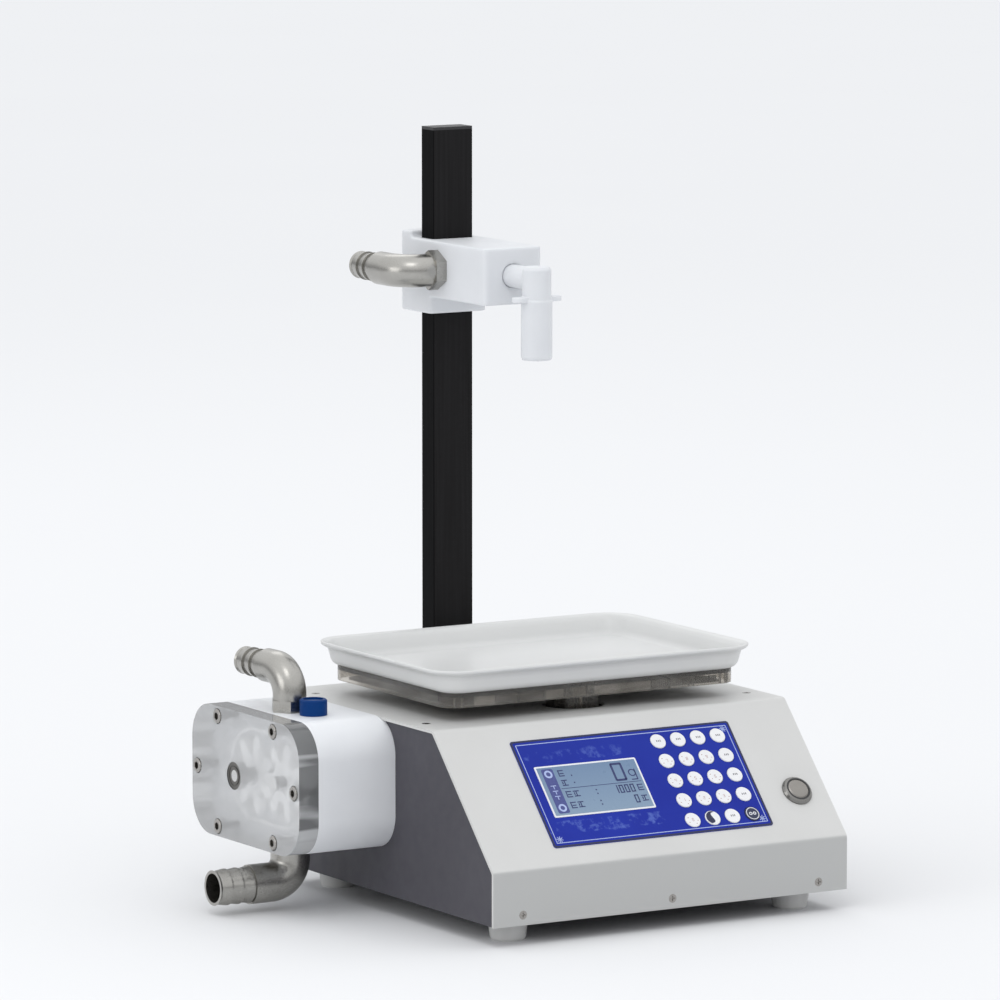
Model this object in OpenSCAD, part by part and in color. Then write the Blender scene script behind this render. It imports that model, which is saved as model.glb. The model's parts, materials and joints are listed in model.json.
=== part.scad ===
// Desktop weighing and liquid-filling machine with an external gear pump.
// X runs left to right, Y from front to back, Z up. The origin is the centre of the whole
// object's footprint, at the level that its feet stand on.

/* [Enclosure] */
// Width of the enclosure
case_w = 280; // [270:1:300]
// Depth of the enclosure, front lip to rear panel
case_d = 288; // [280:1:300]
// Height of the vertical front lip below the slope
lip_h = 36.8; // [34:0.2:40]
// Length of the sloping control face
slope_len = 115.5; // [112:0.5:118]
// Angle of the control face above level
slope_a = 47; // [45:0.5:49]
// Outer radius of the cover's bends
bend_r = 5; // [4:0.5:6]
// Sheet thickness of the cover
cover_t = 2; // [1.5:0.1:2.5]
// Sheet thickness of the chassis
sheet_t = 1.5; // [1.2:0.1:2]
// Height of each foot
foot_h = 14; // [10:1:18]
// Diameter of a foot where it meets the chassis
foot_d = 27; // [24:1:30]
// Distance of each foot's centre from the edges of the chassis
foot_inset = 28; // [24:1:32]

/* [Control panel] */
// Width of the keypad overlay
overlay_w = 173.6; // [170:0.1:176]
// Height of the keypad overlay along the slope
overlay_h = 86.2; // [84:0.1:88]
// Thickness of the overlay
overlay_t = 0.5; // [0.3:0.1:0.8]
// Distance of the overlay's middle up the slope
overlay_s = 57.5; // [56:0.1:59]
// Width of the display's frame
lcd_w = 79.7; // [78:0.1:82]
// Height of the display's frame
lcd_h = 41; // [39:0.1:43]
// Display centre to the left of the enclosure's centre plane
lcd_x = 37; // [36:0.1:38]
// Diameter of a key cap
key_d = 11.4; // [10.5:0.1:12]
// Distance between key columns
key_pitch_x = 15.9; // [15.5:0.1:16.5]
// Distance between key rows
key_pitch_s = 16.2; // [15.8:0.1:16.6]
// Centre of the first key column to the right of the centre plane
key_x = 26.3; // [26:0.1:27]
// Centre of the lowest key row up the slope
key_s = 24.8; // [24:0.1:25.5]
// Outer diameter of the start button's bezel
bezel_d = 22; // [21:0.5:24]
// Diameter of the start button's threaded body
bezel_body_d = 19; // [18:0.5:19.5]
// Start button centre to the right of the centre plane
start_x = 116.5; // [115:0.5:118]
// Start button centre up the slope
start_s = 39.2; // [37:0.2:42]

/* [Weighing tray] */
// Width of the tray over its lip
tray_w = 254; // [248:1:258]
// Depth of the tray over its lip
tray_d = 185; // [180:1:188]
// Corner radius of the tray's lip
tray_r = 25; // [22:1:28]
// Depth of the tray from lip to underside
tray_h = 17; // [15:1:19]
// Tray centre behind the enclosure's middle
tray_y = 39; // [37:1:41]
// Underside of the tray above the enclosure's bottom
tray_z = 141; // [139:1:143]
// Width of the weighing platform
platform_w = 232; // [226:1:236]
// Depth of the weighing platform
platform_d = 160; // [154:1:162]

/* [Post and nozzle] */
// Width of the post
post_w = 31.5; // [28:0.5:32]
// Depth of the post
post_d = 17; // [14:0.5:18]
// Wall of the post's tube
post_t = 1.6; // [1.2:0.1:2]
// Top of the post above the enclosure's bottom
post_top = 503; // [490:1:515]
// Bottom of the post above the enclosure's bottom
post_foot = 10; // [8:1:16]
// Width of the nozzle block
block_w = 46; // [44:1:48]
// Height of the nozzle block's arm
arm_h = 39.5; // [38:0.5:41]
// Front face of the arm behind the enclosure's middle
arm_y = 67; // [65:1:70]
// Underside of the arm above the enclosure's bottom
arm_z = 388; // [384:1:392]
// Nozzle axis behind the enclosure's middle
nozzle_y = 36; // [34:1:38]
// Lower end of the nozzle above the enclosure's bottom
nozzle_z = 353; // [350:1:356]
// Outer diameter of the nozzle's lower sleeve
nozzle_d = 21.5; // [20:0.5:23]
// Bore of the nozzle
nozzle_bore_d = 14; // [12:0.5:15]

/* [Gear pump] */
// Number of lobes on each pump gear
gear_z = 7; // [7:1:7]
// Distance between the two gear axes
gear_c = 42; // [42:1:42]
// Radius over a gear's lobes
gear_tip_r = 27.2; // [26.6:0.1:27.4]
// Play between the flanks of meshing lobes
gear_play = 0.4; // [0.3:0.05:0.5]
// Depth of the gear chamber
chamber_d = 36; // [34:1:38]
// Length of the pump body and window along the enclosure
pump_l = 149; // [146:1:152]
// Height of the pump body and window
pump_h = 90; // [88:1:92]
// Corner radius of the pump body and window
pump_r = 25; // [22:1:28]
// Thickness of the clear window
window_t = 15; // [14:0.5:16]
// Depth of the pump body from window to side panel
body_d = 59.5; // [58:0.5:61]
// Centre of the pump body behind the enclosure's middle
pump_y = 65.5; // [64:0.5:67]
// Midpoint of the two gear axes behind the enclosure's middle
gear_y = 60.5; // [59:0.5:62]
// Pump centre above the enclosure's bottom
pump_z = 76.5; // [74:0.5:78]
// Ports' axis in front of the side panel
port_x = 42.5; // [41:0.5:43]

/* [Hose fittings] */
// Crest diameter of the barbs on the two thinner elbows
barb_d = 20; // [19.5:0.1:20.5]
// Crest diameter of the barbs on the inlet elbow
inlet_barb_d = 25; // [24.5:0.1:25.5]
// Distance between barb crests
barb_pitch = 8.5; // [8:0.5:9]

/* [Hidden] */
$fn = 96;
CLEAR = 0.05;
SLIDE_GAP = 0.2;
FRONT = -140;
BACK = FRONT + case_d;
SIDE = case_w / 2 - 1.5;
FOLD_Y = FRONT + slope_len * cos(slope_a);
TOP = lip_h + slope_len * sin(slope_a);
CEILING = TOP - cover_t;
KNEE_C = [FRONT + bend_r, lip_h - bend_r * tan((90 - slope_a) / 2)];
FOLD_C = [FOLD_Y + bend_r * tan(slope_a / 2), TOP - bend_r];
SCREW_D = 3;
BOLT_D = 5;
BOLT_HEAD_D = 8.5;
// Front flange, side flanges and the screws that hold the cover to them
FLANGE = 15;
LIP_SCREWS = [-117, 0, 117];
LIP_SCREW_Z = 7;
TOP_SCREW_X = 128;
TOP_SCREWS_Y = [-32, 118];
// Keys, numbered row by row from the top left
KEY_ROWS = 5;
KEY_COLS = 4;
KEY_SKIRT_D = key_d + 2.4;
KEY_TOP = overlay_t + 0.6;
KEY_HOLE_D = key_d + 0.5;
BOARD_DEPTH = 12;
BUTTON_D = 15;
// Pump axes, front plane and chamber
PUMP_FRONT = -SIDE - body_d;
DRIVE_Y = gear_y + gear_c / 2;
IDLER_Y = gear_y - gear_c / 2;
CHAMBER_R = gear_tip_r + 0.15;
CHAMBER_BACK = PUMP_FRONT + chamber_d;
GEAR_GAP = 0.15;
SHAFT_D = 10;
NOSE_D = 8;
PORT_D = 18;
COVER_RELIEF = 0.3;
PUMP_BOLTS = [[-67, 0], [67, 0], [-38.5, -38], [38.5, -38], [-38.5, 38], [38.5, 38]];
PUMP_BOLT_D = 6;
PUMP_HEAD_D = 10;
PUMP_HEAD_SINK = 5;
PUMP_FIXINGS = [[-50, -26], [50, -26], [-50, 26], [50, 26]];
FRONT_BEARING = [NOSE_D, 19, 6];
REAR_BEARING = [SHAFT_D, 22, 6];
REAR_BEARING_X = -SIDE - 14;
SEAL_X = -SIDE - 21;
CAP_POS = [-175.5, 37.5];
CAP_D = 18.8;
CAP_H = 11;
CAP_STUB_D = 10;
// Motor, coupling and bracket along the drive axis
COUPLING_X = -130;
COUPLING_L = 30;
COUPLING_D = 25;
MOTOR_FACE = -88;
MOTOR_L = 70;
MOTOR_D = 57;
MOTOR_SHAFT_D = 8;
BRACKET_T = 4;
MOTOR_BOLTS_R = 20;
// Load cell under the platform
CELL = [30, 130, 22];
CELL_Z = 93;
CELL_FIXED_Y = tray_y + 50;
CELL_FREE_Y = tray_y - 50;
PLATFORM_T = 3;
PLATFORM_SKIRT = 10;
// Elbows
HEX_H = 8;
ELBOW_UP = 20;
OUTLET_OUT = 54.5;
NOZZLE_HOSE_OUT = 58;
ELBOW_TUBE_D = 23;
INLET_TUBE_D = 27;
INLET_THREAD_D = 22;
INLET_FLANGE_D = 33;
INLET_FLANGE_H = 5;
INLET_UP = 18.5;
INLET_OUT = 60;
THREAD_L = 9;
BLOCK_PORT = [130, arm_z + 20];
OUTLET_TURN = 4;
// Nozzle block and its clamp
CLAMP_Y0 = 141;
CLAMP_Y1 = 181.5;
CLAMP_Z0 = 376;
CLAMP_Z1 = 432;
POST_Y = BACK + post_d / 2;
CLAMP_PLATE_Y = BACK + post_d + 3;
KNOB_Z = (CLAMP_Z0 + CLAMP_Z1) / 2;
KNOB_D = 18;
KNOB_END = 200;
STUD_D = 8;
// Rear socket and switch
SOCKET = [95, 45];
SOCKET_W = 28;
SOCKET_H = 48;
ROCKER_TILT = 9;
ROCKER_UP = 12;
PIVOT_D = 2.5;
PIVOT_L = 18;
// The object's outermost planes, which centre the origin under it
LEFT_END = -SIDE - port_x - INLET_OUT;
RIGHT_END = case_w / 2;
ORIGIN_SHIFT = [-(LEFT_END + RIGHT_END) / 2, -(FRONT + KNOB_END) / 2, foot_h];
KEY_NAMES = [for (i = [1:KEY_ROWS * KEY_COLS]) str("key_", i)];

// ---------- Shared shapes ----------

// Moves the enclosure's own frame to the object's origin
module placed() {
    translate(ORIGIN_SHIFT) children();
}

// Stands a flat outline, drawn as [Y, Z], on its edge and gives it a width along X
module along_x(x, w) {
    translate([x, 0, 0]) rotate([90, 0, 90]) linear_extrude(w) children();
}

// Cylinder lying along X, from x, around [y, z]
module rod_x(x, length, d, y, z) {
    translate([x, y, z]) rotate([0, 90, 0]) cylinder(h = length, d = d);
}

// Cylinder lying along Y, from y, around [x, z]
module rod_y(y, length, d, x, z) {
    translate([x, y, z]) rotate([-90, 0, 0]) cylinder(h = length, d = d);
}

// Places its children on the control face, at x and at distance s up the slope
module on_slope(x, s) {
    translate([x, FRONT + s * cos(slope_a), lip_h + s * sin(slope_a)])
        rotate([slope_a, 0, 0]) children();
}

module rounded_rect(w, d, r) {
    square([w - 2 * r, d], center = true);
    square([w, d - 2 * r], center = true);
    for (x = [-1, 1], y = [-1, 1])
        translate([x * (w / 2 - r), y * (d / 2 - r)]) circle(r);
}

module rounded_box(w, d, h, r) {
    linear_extrude(h) rounded_rect(w, d, r);
}

// Sweeps a wall profile, drawn as [distance from the corner centre, height], round a
// rectangle whose corner centres are cx and cy from the middle
module wall_loop(cx, cy, profile) {
    for (i = [0:3]) {
        sx = (i == 0 || i == 3) ? 1 : -1;
        sy = i < 2 ? 1 : -1;
        run = i % 2 == 0 ? cx : cy;
        side = i % 2 == 0 ? cy : cx;
        translate([sx * cx, sy * cy, 0]) rotate([0, 0, i * 90])
            rotate_extrude(angle = 90) polygon(profile);
        rotate([0, 0, i * 90]) translate([run, side, 0]) rotate([90, 0, -90])
            linear_extrude(2 * run) mirror([1, 0]) polygon(profile);
    }
}

// Points of an arc about c, from angle a0 to a1
function arc(c, r, a0, a1, steps) =
    [for (i = [0:steps]) let (a = a0 + (a1 - a0) * i / steps) c + r * [cos(a), sin(a)]];

// Side outline of the enclosure, moved inwards by inset; bottom at base
module case_outline(inset, base) {
    r = bend_r - inset;
    polygon(concat(
        [[BACK, base], [FRONT + inset, base]],
        arc(KNEE_C, r, 180, 90 + slope_a, 12),
        arc(FOLD_C, r, 90 + slope_a, 90, 12),
        [[BACK, TOP - inset]]
    ));
}

// Countersunk screw, head flush with z = 0, shank downwards
module countersunk(d, length) {
    difference() {
        union() {
            translate([0, 0, -d * 0.55]) cylinder(h = d * 0.55, d1 = d, d2 = 2 * d);
            translate([0, 0, -length]) cylinder(h = length - d * 0.5, d = d);
        }
        for (a = [0, 90]) rotate([0, 0, a])
            translate([-d * 0.55, -0.35, -0.8]) cube([d * 1.1, 0.7, 1.6]);
    }
}

module countersunk_hole(d, depth) {
    hole_d = d + 2 * CLEAR;
    translate([0, 0, -d * 0.55]) cylinder(h = d * 0.55 + 0.01, d1 = hole_d, d2 = 2 * d + 2 * CLEAR);
    translate([0, 0, -depth]) cylinder(h = depth, d = hole_d);
}

// Socket-head bolt, underside of the head at z = 0, shank downwards
module cap_bolt(d, head_d, head_h, length) {
    difference() {
        union() {
            cylinder(h = head_h - 0.6, d = head_d);
            translate([0, 0, head_h - 0.6]) cylinder(h = 0.6, d1 = head_d, d2 = head_d - 1.2);
            translate([0, 0, -length]) cylinder(h = length + 0.1, d = d);
        }
        translate([0, 0, head_h * 0.4]) cylinder(h = head_h, d = d * 0.92, $fn = 6);
    }
}

// ---------- Enclosure ----------

module foot_places() {
    for (x = [-1, 1], y = [FRONT + foot_inset, BACK - foot_inset - 4])
        translate([x * (case_w / 2 - foot_inset), y, 0]) children();
}

module side_vents() {
    for (i = [0:6]) along_x(SIDE - sheet_t - 1, sheet_t + 2)
        translate([20 + i * 12, 40]) rounded_rect(4, 34, 1.9);
}

module base_chassis() {
    placed() color("dimgray") difference() {
        union() {
            // Floor, two sides and the rear panel
            translate([-SIDE, FRONT + cover_t, 0]) cube([2 * SIDE, case_d - cover_t, sheet_t]);
            for (x = [-SIDE, SIDE - sheet_t]) along_x(x, sheet_t) case_outline(cover_t, 0);
            translate([-SIDE, BACK - sheet_t, 0]) cube([2 * SIDE, sheet_t, CEILING]);
            // Turned-in flanges that the cover is screwed to
            translate([-SIDE, FRONT + cover_t, 0]) cube([2 * SIDE, sheet_t, FLANGE]);
            for (x = [-SIDE, SIDE - FLANGE]) translate([x, FOLD_Y + 10, CEILING - sheet_t])
                cube([FLANGE, BACK - FOLD_Y - 10, sheet_t]);
            // Welded pedestal under the fixed end of the load cell
            translate([-CELL[0] / 2, CELL_FIXED_Y - 15, 0]) difference() {
                cube([CELL[0], 30, CELL_Z]);
                translate([-1, 2, sheet_t]) cube([CELL[0] + 2, 26, CELL_Z - 6]);
            }
        }
        // Screws of the cover
        for (x = LIP_SCREWS) rod_y(FRONT, 6, SCREW_D + 2 * CLEAR, x, LIP_SCREW_Z);
        for (x = [-1, 1], y = TOP_SCREWS_Y)
            translate([x * TOP_SCREW_X, y, CEILING - 5]) cylinder(h = 8, d = SCREW_D + 2 * CLEAR);
        // Foot bolts, bracket bolts and the load cell's bolts
        foot_places() translate([0, 0, -1]) cylinder(h = 4, d = BOLT_D + 2 * CLEAR);
        bracket_bolt_places() translate([0, 0, -8]) cylinder(h = 12, d = BOLT_D + 2 * CLEAR);
        for (y = [-8, 8]) translate([0, CELL_FIXED_Y + y, CELL_Z - 8])
            cylinder(h = 12, d = BOLT_D + 2 * CLEAR);
        // Drive shaft and the four bolts of the pump
        rod_x(-SIDE - 1, 4, 24, DRIVE_Y, pump_z);
        for (p = PUMP_FIXINGS)
            rod_x(-SIDE - 1, 4, BOLT_D + 2 * CLEAR, pump_y + p[0], pump_z + p[1]);
        // Post bolts, socket cut-out and vents at the rear and on the right
        for (z = [30, 95]) rod_y(BACK - 3, 5, BOLT_D + 2 * CLEAR, 0, z);
        translate([SOCKET[0] - SOCKET_W / 2 + 1, BACK - 3, SOCKET[1] - SOCKET_H / 2 + 1])
            cube([SOCKET_W - 2, 5, SOCKET_H - 2]);
        for (i = [0:7]) translate([-100 + i * 9, BACK - 3, 60]) rotate([-90, 0, 0])
            rounded_box(4, 40, 5, 1.9);
        side_vents();
    }
}

module key_places(first, last) {
    for (i = [first:last]) {
        col = (i - 1) % KEY_COLS;
        row = floor((i - 1) / KEY_COLS);
        on_slope(key_x + col * key_pitch_x, key_s + (KEY_ROWS - 1 - row) * key_pitch_s)
            children();
    }
}

module top_cover() {
    placed() color("gainsboro") difference() {
        along_x(-case_w / 2, case_w) difference() {
            case_outline(0, 0);
            case_outline(cover_t, -5);
        }
        on_slope(-lcd_x, overlay_s + 0.7) translate([0, 0, -5])
            rounded_box(lcd_w - 3, lcd_h - 3, 10, 1);
        key_places(1, KEY_ROWS * KEY_COLS) translate([0, 0, -5]) cylinder(h = 10, d = KEY_HOLE_D);
        on_slope(start_x, start_s) translate([0, 0, -5])
            cylinder(h = 10, d = bezel_body_d + 2 * CLEAR);
        translate([0, CELL_FREE_Y, TOP - 5]) cylinder(h = 10, d = 44);
        for (x = LIP_SCREWS) translate([x, FRONT, LIP_SCREW_Z]) rotate([90, 0, 0])
            countersunk_hole(SCREW_D, 6);
        for (x = [-1, 1], y = TOP_SCREWS_Y) translate([x * TOP_SCREW_X, y, TOP])
            countersunk_hole(SCREW_D, 6);
    }
}

module cover_screws() {
    placed() color("silver") {
        for (x = LIP_SCREWS) translate([x, FRONT, LIP_SCREW_Z]) rotate([90, 0, 0])
            countersunk(SCREW_D, 8);
        for (x = [-1, 1], y = TOP_SCREWS_Y) translate([x * TOP_SCREW_X, y, TOP])
            countersunk(SCREW_D, 8);
    }
}

module rubber_feet() {
    placed() color("lightgray") foot_places() difference() {
        union() {
            translate([0, 0, -foot_h]) cylinder(h = 1.5, d1 = foot_d - 5, d2 = foot_d - 3);
            translate([0, 0, 1.5 - foot_h]) cylinder(h = foot_h - 1.5, d1 = foot_d - 3, d2 = foot_d);
        }
        translate([0, 0, -foot_h - 1]) cylinder(h = 8, d = 11);
        translate([0, 0, -foot_h]) cylinder(h = foot_h + 1, d = BOLT_D + 2 * CLEAR);
    }
}

module bolt(length) {
    cap_bolt(BOLT_D, BOLT_HEAD_D, BOLT_D, length);
}

// Bolts of the feet, motor bracket, motor, load cell, platform, pump body and post
module frame_bolts() {
    placed() color("silver") {
        foot_places() translate([0, 0, -7]) rotate([180, 0, 0]) bolt(10);
        bracket_bolt_places() translate([0, 0, sheet_t + BRACKET_T]) bolt(9);
        motor_bolt_places() bolt(12);
        for (y = [-8, 8]) {
            translate([0, CELL_FIXED_Y + y, CELL_Z - 4.5]) rotate([180, 0, 0]) bolt(16);
            translate([0, CELL_FREE_Y + y, tray_z - 8]) bolt(28);
        }
        for (p = PUMP_FIXINGS) translate([sheet_t - SIDE, pump_y + p[0], pump_z + p[1]])
            rotate([0, 90, 0]) bolt(12);
        for (z = [30, 95]) translate([0, BACK - sheet_t, z]) rotate([90, 0, 0]) bolt(11);
    }
}

// ---------- Control panel ----------

module keypad_overlay() {
    placed() color("mediumblue") difference() {
        on_slope(0, overlay_s) rounded_box(overlay_w, overlay_h, overlay_t, 2);
        on_slope(-lcd_x, overlay_s + 0.7) translate([0, 0, -1])
            rounded_box(lcd_w + 0.2, lcd_h + 0.2, 3, 1);
        key_places(1, KEY_ROWS * KEY_COLS) translate([0, 0, -1]) cylinder(h = 3, d = KEY_HOLE_D);
    }
}

// Display: white front frame, glass and board behind the cover
module lcd_module() {
    glass_drop = 0.4;
    placed() color("lightsteelblue") on_slope(-lcd_x, overlay_s + 0.7) difference() {
        union() {
            rounded_box(lcd_w, lcd_h, overlay_t + 0.3, 1);
            translate([0, 0, -cover_t]) rounded_box(lcd_w - 3.3, lcd_h - 3.3, cover_t + 0.1, 0.8);
            translate([0, 0, -cover_t - 5]) rounded_box(lcd_w - 3.3, lcd_h + 2, 5, 0.8);
            translate([0, 0, -cover_t - 6.6]) rounded_box(93, 56, 1.6, 1);
        }
        translate([0, 0, overlay_t + 0.3 - glass_drop]) rounded_box(lcd_w - 7, lcd_h - 7, 2, 0.6);
    }
}

// Board under the keys: tact switches, controller and connectors
module control_board() {
    placed() color("darkgreen") {
        on_slope(-2, overlay_s) translate([0, 0, -cover_t - BOARD_DEPTH]) union() {
            rounded_box(190, 84, 1.6, 2);
            translate([-50, 0, -3]) rounded_box(16, 16, 3.1, 0.5);
            translate([-10, 18, -6]) rounded_box(22, 9, 6.1, 0.5);
            translate([-80, -20, -8]) rounded_box(14, 24, 8.1, 0.5);
        }
        key_places(1, KEY_ROWS * KEY_COLS) translate([0, 0, -cover_t - BOARD_DEPTH + 1.5])
            union() {
                rounded_box(6, 6, 3.6, 0.4);
                cylinder(h = 4.6, d = 3.4);
            }
    }
}

// A key cap with its retaining skirt under the cover
module key(i) {
    placed() color("white") key_places(i, i) union() {
        translate([0, 0, -cover_t - 1.6]) cylinder(h = cover_t + KEY_TOP + 1.2, d = key_d);
        translate([0, 0, KEY_TOP - 0.4]) cylinder(h = 0.4, d1 = key_d, d2 = key_d - 0.8);
        translate([0, 0, -cover_t - 1.6]) cylinder(h = 1.5, d = KEY_SKIRT_D);
        translate([0, 0, -cover_t - 4.4]) cylinder(h = 3, d = 5);
    }
}

// Ring-shaped metal housing of the start button with its nut
module start_button_bezel() {
    placed() color("lightgray") on_slope(start_x, start_s) difference() {
        union() {
            rotate_extrude() polygon([
                [0, 0], [bezel_d / 2, 0], [bezel_d / 2, 1], [bezel_d / 2 - 1, 2.4],
                [bezel_d / 2 - 2.4, 3], [0, 3]
            ]);
            translate([0, 0, -24]) cylinder(h = 24.1, d = bezel_body_d);
            translate([0, 0, -cover_t - 4.1]) cylinder(h = 4, d = 24, $fn = 6);
            for (x = [-4, 4]) translate([x - 0.4, -1.5, -30]) cube([0.8, 3, 7]);
        }
        translate([0, 0, -6]) cylinder(h = 20, d = BUTTON_D + 2 * CLEAR);
        translate([0, 0, -14]) cylinder(h = 9, d = 6);
    }
}

module start_button() {
    placed() color("silver") on_slope(start_x, start_s) union() {
        translate([0, 0, -3]) cylinder(h = 6, d = BUTTON_D);
        translate([0, 0, 3]) cylinder(h = 0.5, d1 = BUTTON_D, d2 = BUTTON_D - 1.6);
        translate([0, 0, -9]) cylinder(h = 7, d = 5);
    }
}

// ---------- Electrics at the rear ----------

module power_supply() {
    placed() color("silver") translate([30, -30, sheet_t]) difference() {
        translate([0, 0, 0.5]) cube([92, 120, 38]);
        for (i = [0:9], j = [0:6]) translate([12 + j * 11, 12 + i * 10.6, 37])
            cylinder(h = 3, d = 5);
        translate([-1, -1, 16]) cube([94, 14, 30]);
    }
}

// Flanged inlet with a three-pin socket below and the switch's frame above
module power_inlet() {
    placed() color("black") translate([SOCKET[0], BACK, SOCKET[1]]) difference() {
        union() {
            translate([-SOCKET_W / 2 - 3, 0, -SOCKET_H / 2 - 3])
                cube([SOCKET_W + 6, 2.5, SOCKET_H + 6]);
            translate([-SOCKET_W / 2 + 1.1, -28, -SOCKET_H / 2 + 1.1])
                cube([SOCKET_W - 2.2, 28.1, SOCKET_H - 2.2]);
        }
        // Socket
        difference() {
            translate([-11.5, -20, -21]) cube([23, 30, 17]);
            for (x = [-7, 0, 7]) translate([x - 1, -21, x == 0 ? -11 : -14]) cube([2, 17, 4]);
        }
        // Switch and the pivot of its rocker
        translate([-7, -14, 3]) cube([14, 30, 18]);
        rod_x(-PIVOT_L / 2 - 0.2, PIVOT_L + 0.4, PIVOT_D + 2 * CLEAR, -4, ROCKER_UP);
    }
}

// Rocker with two faces that meet over its pivot
module power_rocker() {
    rocker_w = 13.4;
    placed() color("crimson") translate([SOCKET[0], BACK - 4, SOCKET[1] + ROCKER_UP])
        rotate([ROCKER_TILT, 0, 0]) union() {
            translate([-rocker_w / 2, 0, 0]) rotate([90, 0, 90]) linear_extrude(rocker_w) polygon([
                [-4, -5], [-4, 5], [4.5, 7.5], [8.2, 7.5], [6.6, 0], [8.2, -7.5], [4.5, -7.5]
            ]);
            rod_x(-PIVOT_L / 2, PIVOT_L, PIVOT_D, 0, 0);
        }
}

// ---------- Weighing ----------

// Single-point aluminium bar with its bending window
module load_cell() {
    placed() color("silver") translate([-CELL[0] / 2, tray_y - CELL[1] / 2, CELL_Z])
        difference() {
            cube(CELL);
            translate([-1, CELL[1] / 2 - 16, CELL[2] / 2]) rotate([0, 90, 0])
                linear_extrude(CELL[0] + 2) {
                    circle(d = 15);
                    translate([0, 32]) circle(d = 15);
                    translate([-3, 0]) square([6, 32]);
                }
            for (y = [7, 23, CELL[1] - 23, CELL[1] - 7])
                translate([CELL[0] / 2, y, -1]) cylinder(h = CELL[2] + 2, d = BOLT_D + 2 * CLEAR);
        }
}

// Clear tray carrier with a hanging skirt, bolted to the free end of the load cell
module platform() {
    skirt_r = 14;
    placed() color("lightcyan") difference() {
        translate([0, tray_y, tray_z]) union() {
            translate([0, 0, -PLATFORM_T]) rounded_box(platform_w, platform_d, PLATFORM_T, skirt_r);
            translate([0, 0, -PLATFORM_SKIRT]) linear_extrude(PLATFORM_SKIRT - 1) {
                difference() {
                    rounded_rect(platform_w, platform_d, skirt_r);
                    rounded_rect(platform_w - 4, platform_d - 4, skirt_r - 2);
                }
                for (a = [-1, 1]) translate([a * 60, 0]) square([2, platform_d - 3], center = true);
            }
            translate([0, CELL_FREE_Y - tray_y, CELL_Z + CELL[2] - tray_z])
                rounded_box(28, 30, tray_z - CELL_Z - CELL[2] - 1, 4);
        }
        for (y = [-8, 8]) translate([0, CELL_FREE_Y + y, 0]) {
            translate([0, 0, CELL_Z]) cylinder(h = 60, d = BOLT_D + 2 * CLEAR);
            translate([0, 0, tray_z - 8]) cylinder(h = 20, d = BOLT_HEAD_D + 1);
        }
    }
}

module tray() {
    slope_run = 15;
    floor_t = 2.2;
    placed() color("whitesmoke") translate([0, tray_y, tray_z]) union() {
        rounded_box(tray_w - 2 * slope_run, tray_d - 2 * slope_run, floor_t, tray_r - slope_run);
        wall_loop(tray_w / 2 - tray_r, tray_d / 2 - tray_r, [
            [tray_r - slope_run - 1, 0],
            [tray_r - slope_run, 0],
            [tray_r - 4.5, tray_h - 2.6],
            [tray_r, tray_h - 1.6],
            [tray_r, tray_h],
            [tray_r - 5.6, tray_h - 0.8],
            [tray_r - slope_run - 1, floor_t]
        ]);
    }
}

// ---------- Drive ----------

module bracket_bolt_places() {
    for (x = [MOTOR_FACE + 12, MOTOR_FACE + 30], y = [-24, 24])
        translate([x, DRIVE_Y + y, 0]) children();
}

module motor_bolt_places() {
    for (a = [45:90:315])
        translate([MOTOR_FACE - BRACKET_T, DRIVE_Y + MOTOR_BOLTS_R * cos(a),
                   pump_z + MOTOR_BOLTS_R * sin(a)]) rotate([0, -90, 0]) children();
}

module motor_bracket() {
    placed() color("gray") difference() {
        union() {
            translate([MOTOR_FACE - BRACKET_T, DRIVE_Y - 34, sheet_t]) cube([BRACKET_T, 68, 106]);
            translate([MOTOR_FACE - BRACKET_T, DRIVE_Y - 34, sheet_t]) cube([42, 68, BRACKET_T]);
        }
        rod_x(MOTOR_FACE - 10, 20, 24.1, DRIVE_Y, pump_z);
        motor_bolt_places() translate([0, 0, -8]) cylinder(h = 10, d = BOLT_D + 2 * CLEAR);
        bracket_bolt_places() cylinder(h = 12, d = BOLT_D + 2 * CLEAR);
    }
}

module motor_body() {
    placed() color("darkslategray") difference() {
        union() {
            rod_x(MOTOR_FACE, MOTOR_L, MOTOR_D, DRIVE_Y, pump_z);
            rod_x(MOTOR_FACE - 3, 4, 24, DRIVE_Y, pump_z);
            rod_x(MOTOR_FACE + MOTOR_L - 1, 3, 20, DRIVE_Y, pump_z);
            translate([MOTOR_FACE + 18, DRIVE_Y - 9, pump_z - MOTOR_D / 2 - 6]) cube([26, 18, 12]);
        }
        rod_x(MOTOR_FACE - 4, 44, MOTOR_SHAFT_D + 2 * CLEAR, DRIVE_Y, pump_z);
        motor_bolt_places() translate([0, 0, -14]) cylinder(h = 12, d = BOLT_D + 2 * CLEAR);
    }
}

module motor_shaft() {
    placed() color("silver")
        rod_x(MOTOR_FACE - 26, 64, MOTOR_SHAFT_D, DRIVE_Y, pump_z);
}

// One-piece beam coupling with three relieving slits
module shaft_coupling() {
    placed() color("silver") difference() {
        rod_x(COUPLING_X, COUPLING_L, COUPLING_D, DRIVE_Y, pump_z);
        rod_x(COUPLING_X - 1, 15, SHAFT_D + 2 * CLEAR, DRIVE_Y, pump_z);
        rod_x(COUPLING_X - 1, COUPLING_L + 2, MOTOR_SHAFT_D + 2 * CLEAR, DRIVE_Y, pump_z);
        for (i = [0:2]) translate([COUPLING_X + 11 + i * 4, DRIVE_Y, pump_z])
            rotate([90 + i * 120, 0, 0]) translate([0, -COUPLING_D, -3])
                cube([1, 2 * COUPLING_D, COUPLING_D]);
    }
}

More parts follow.
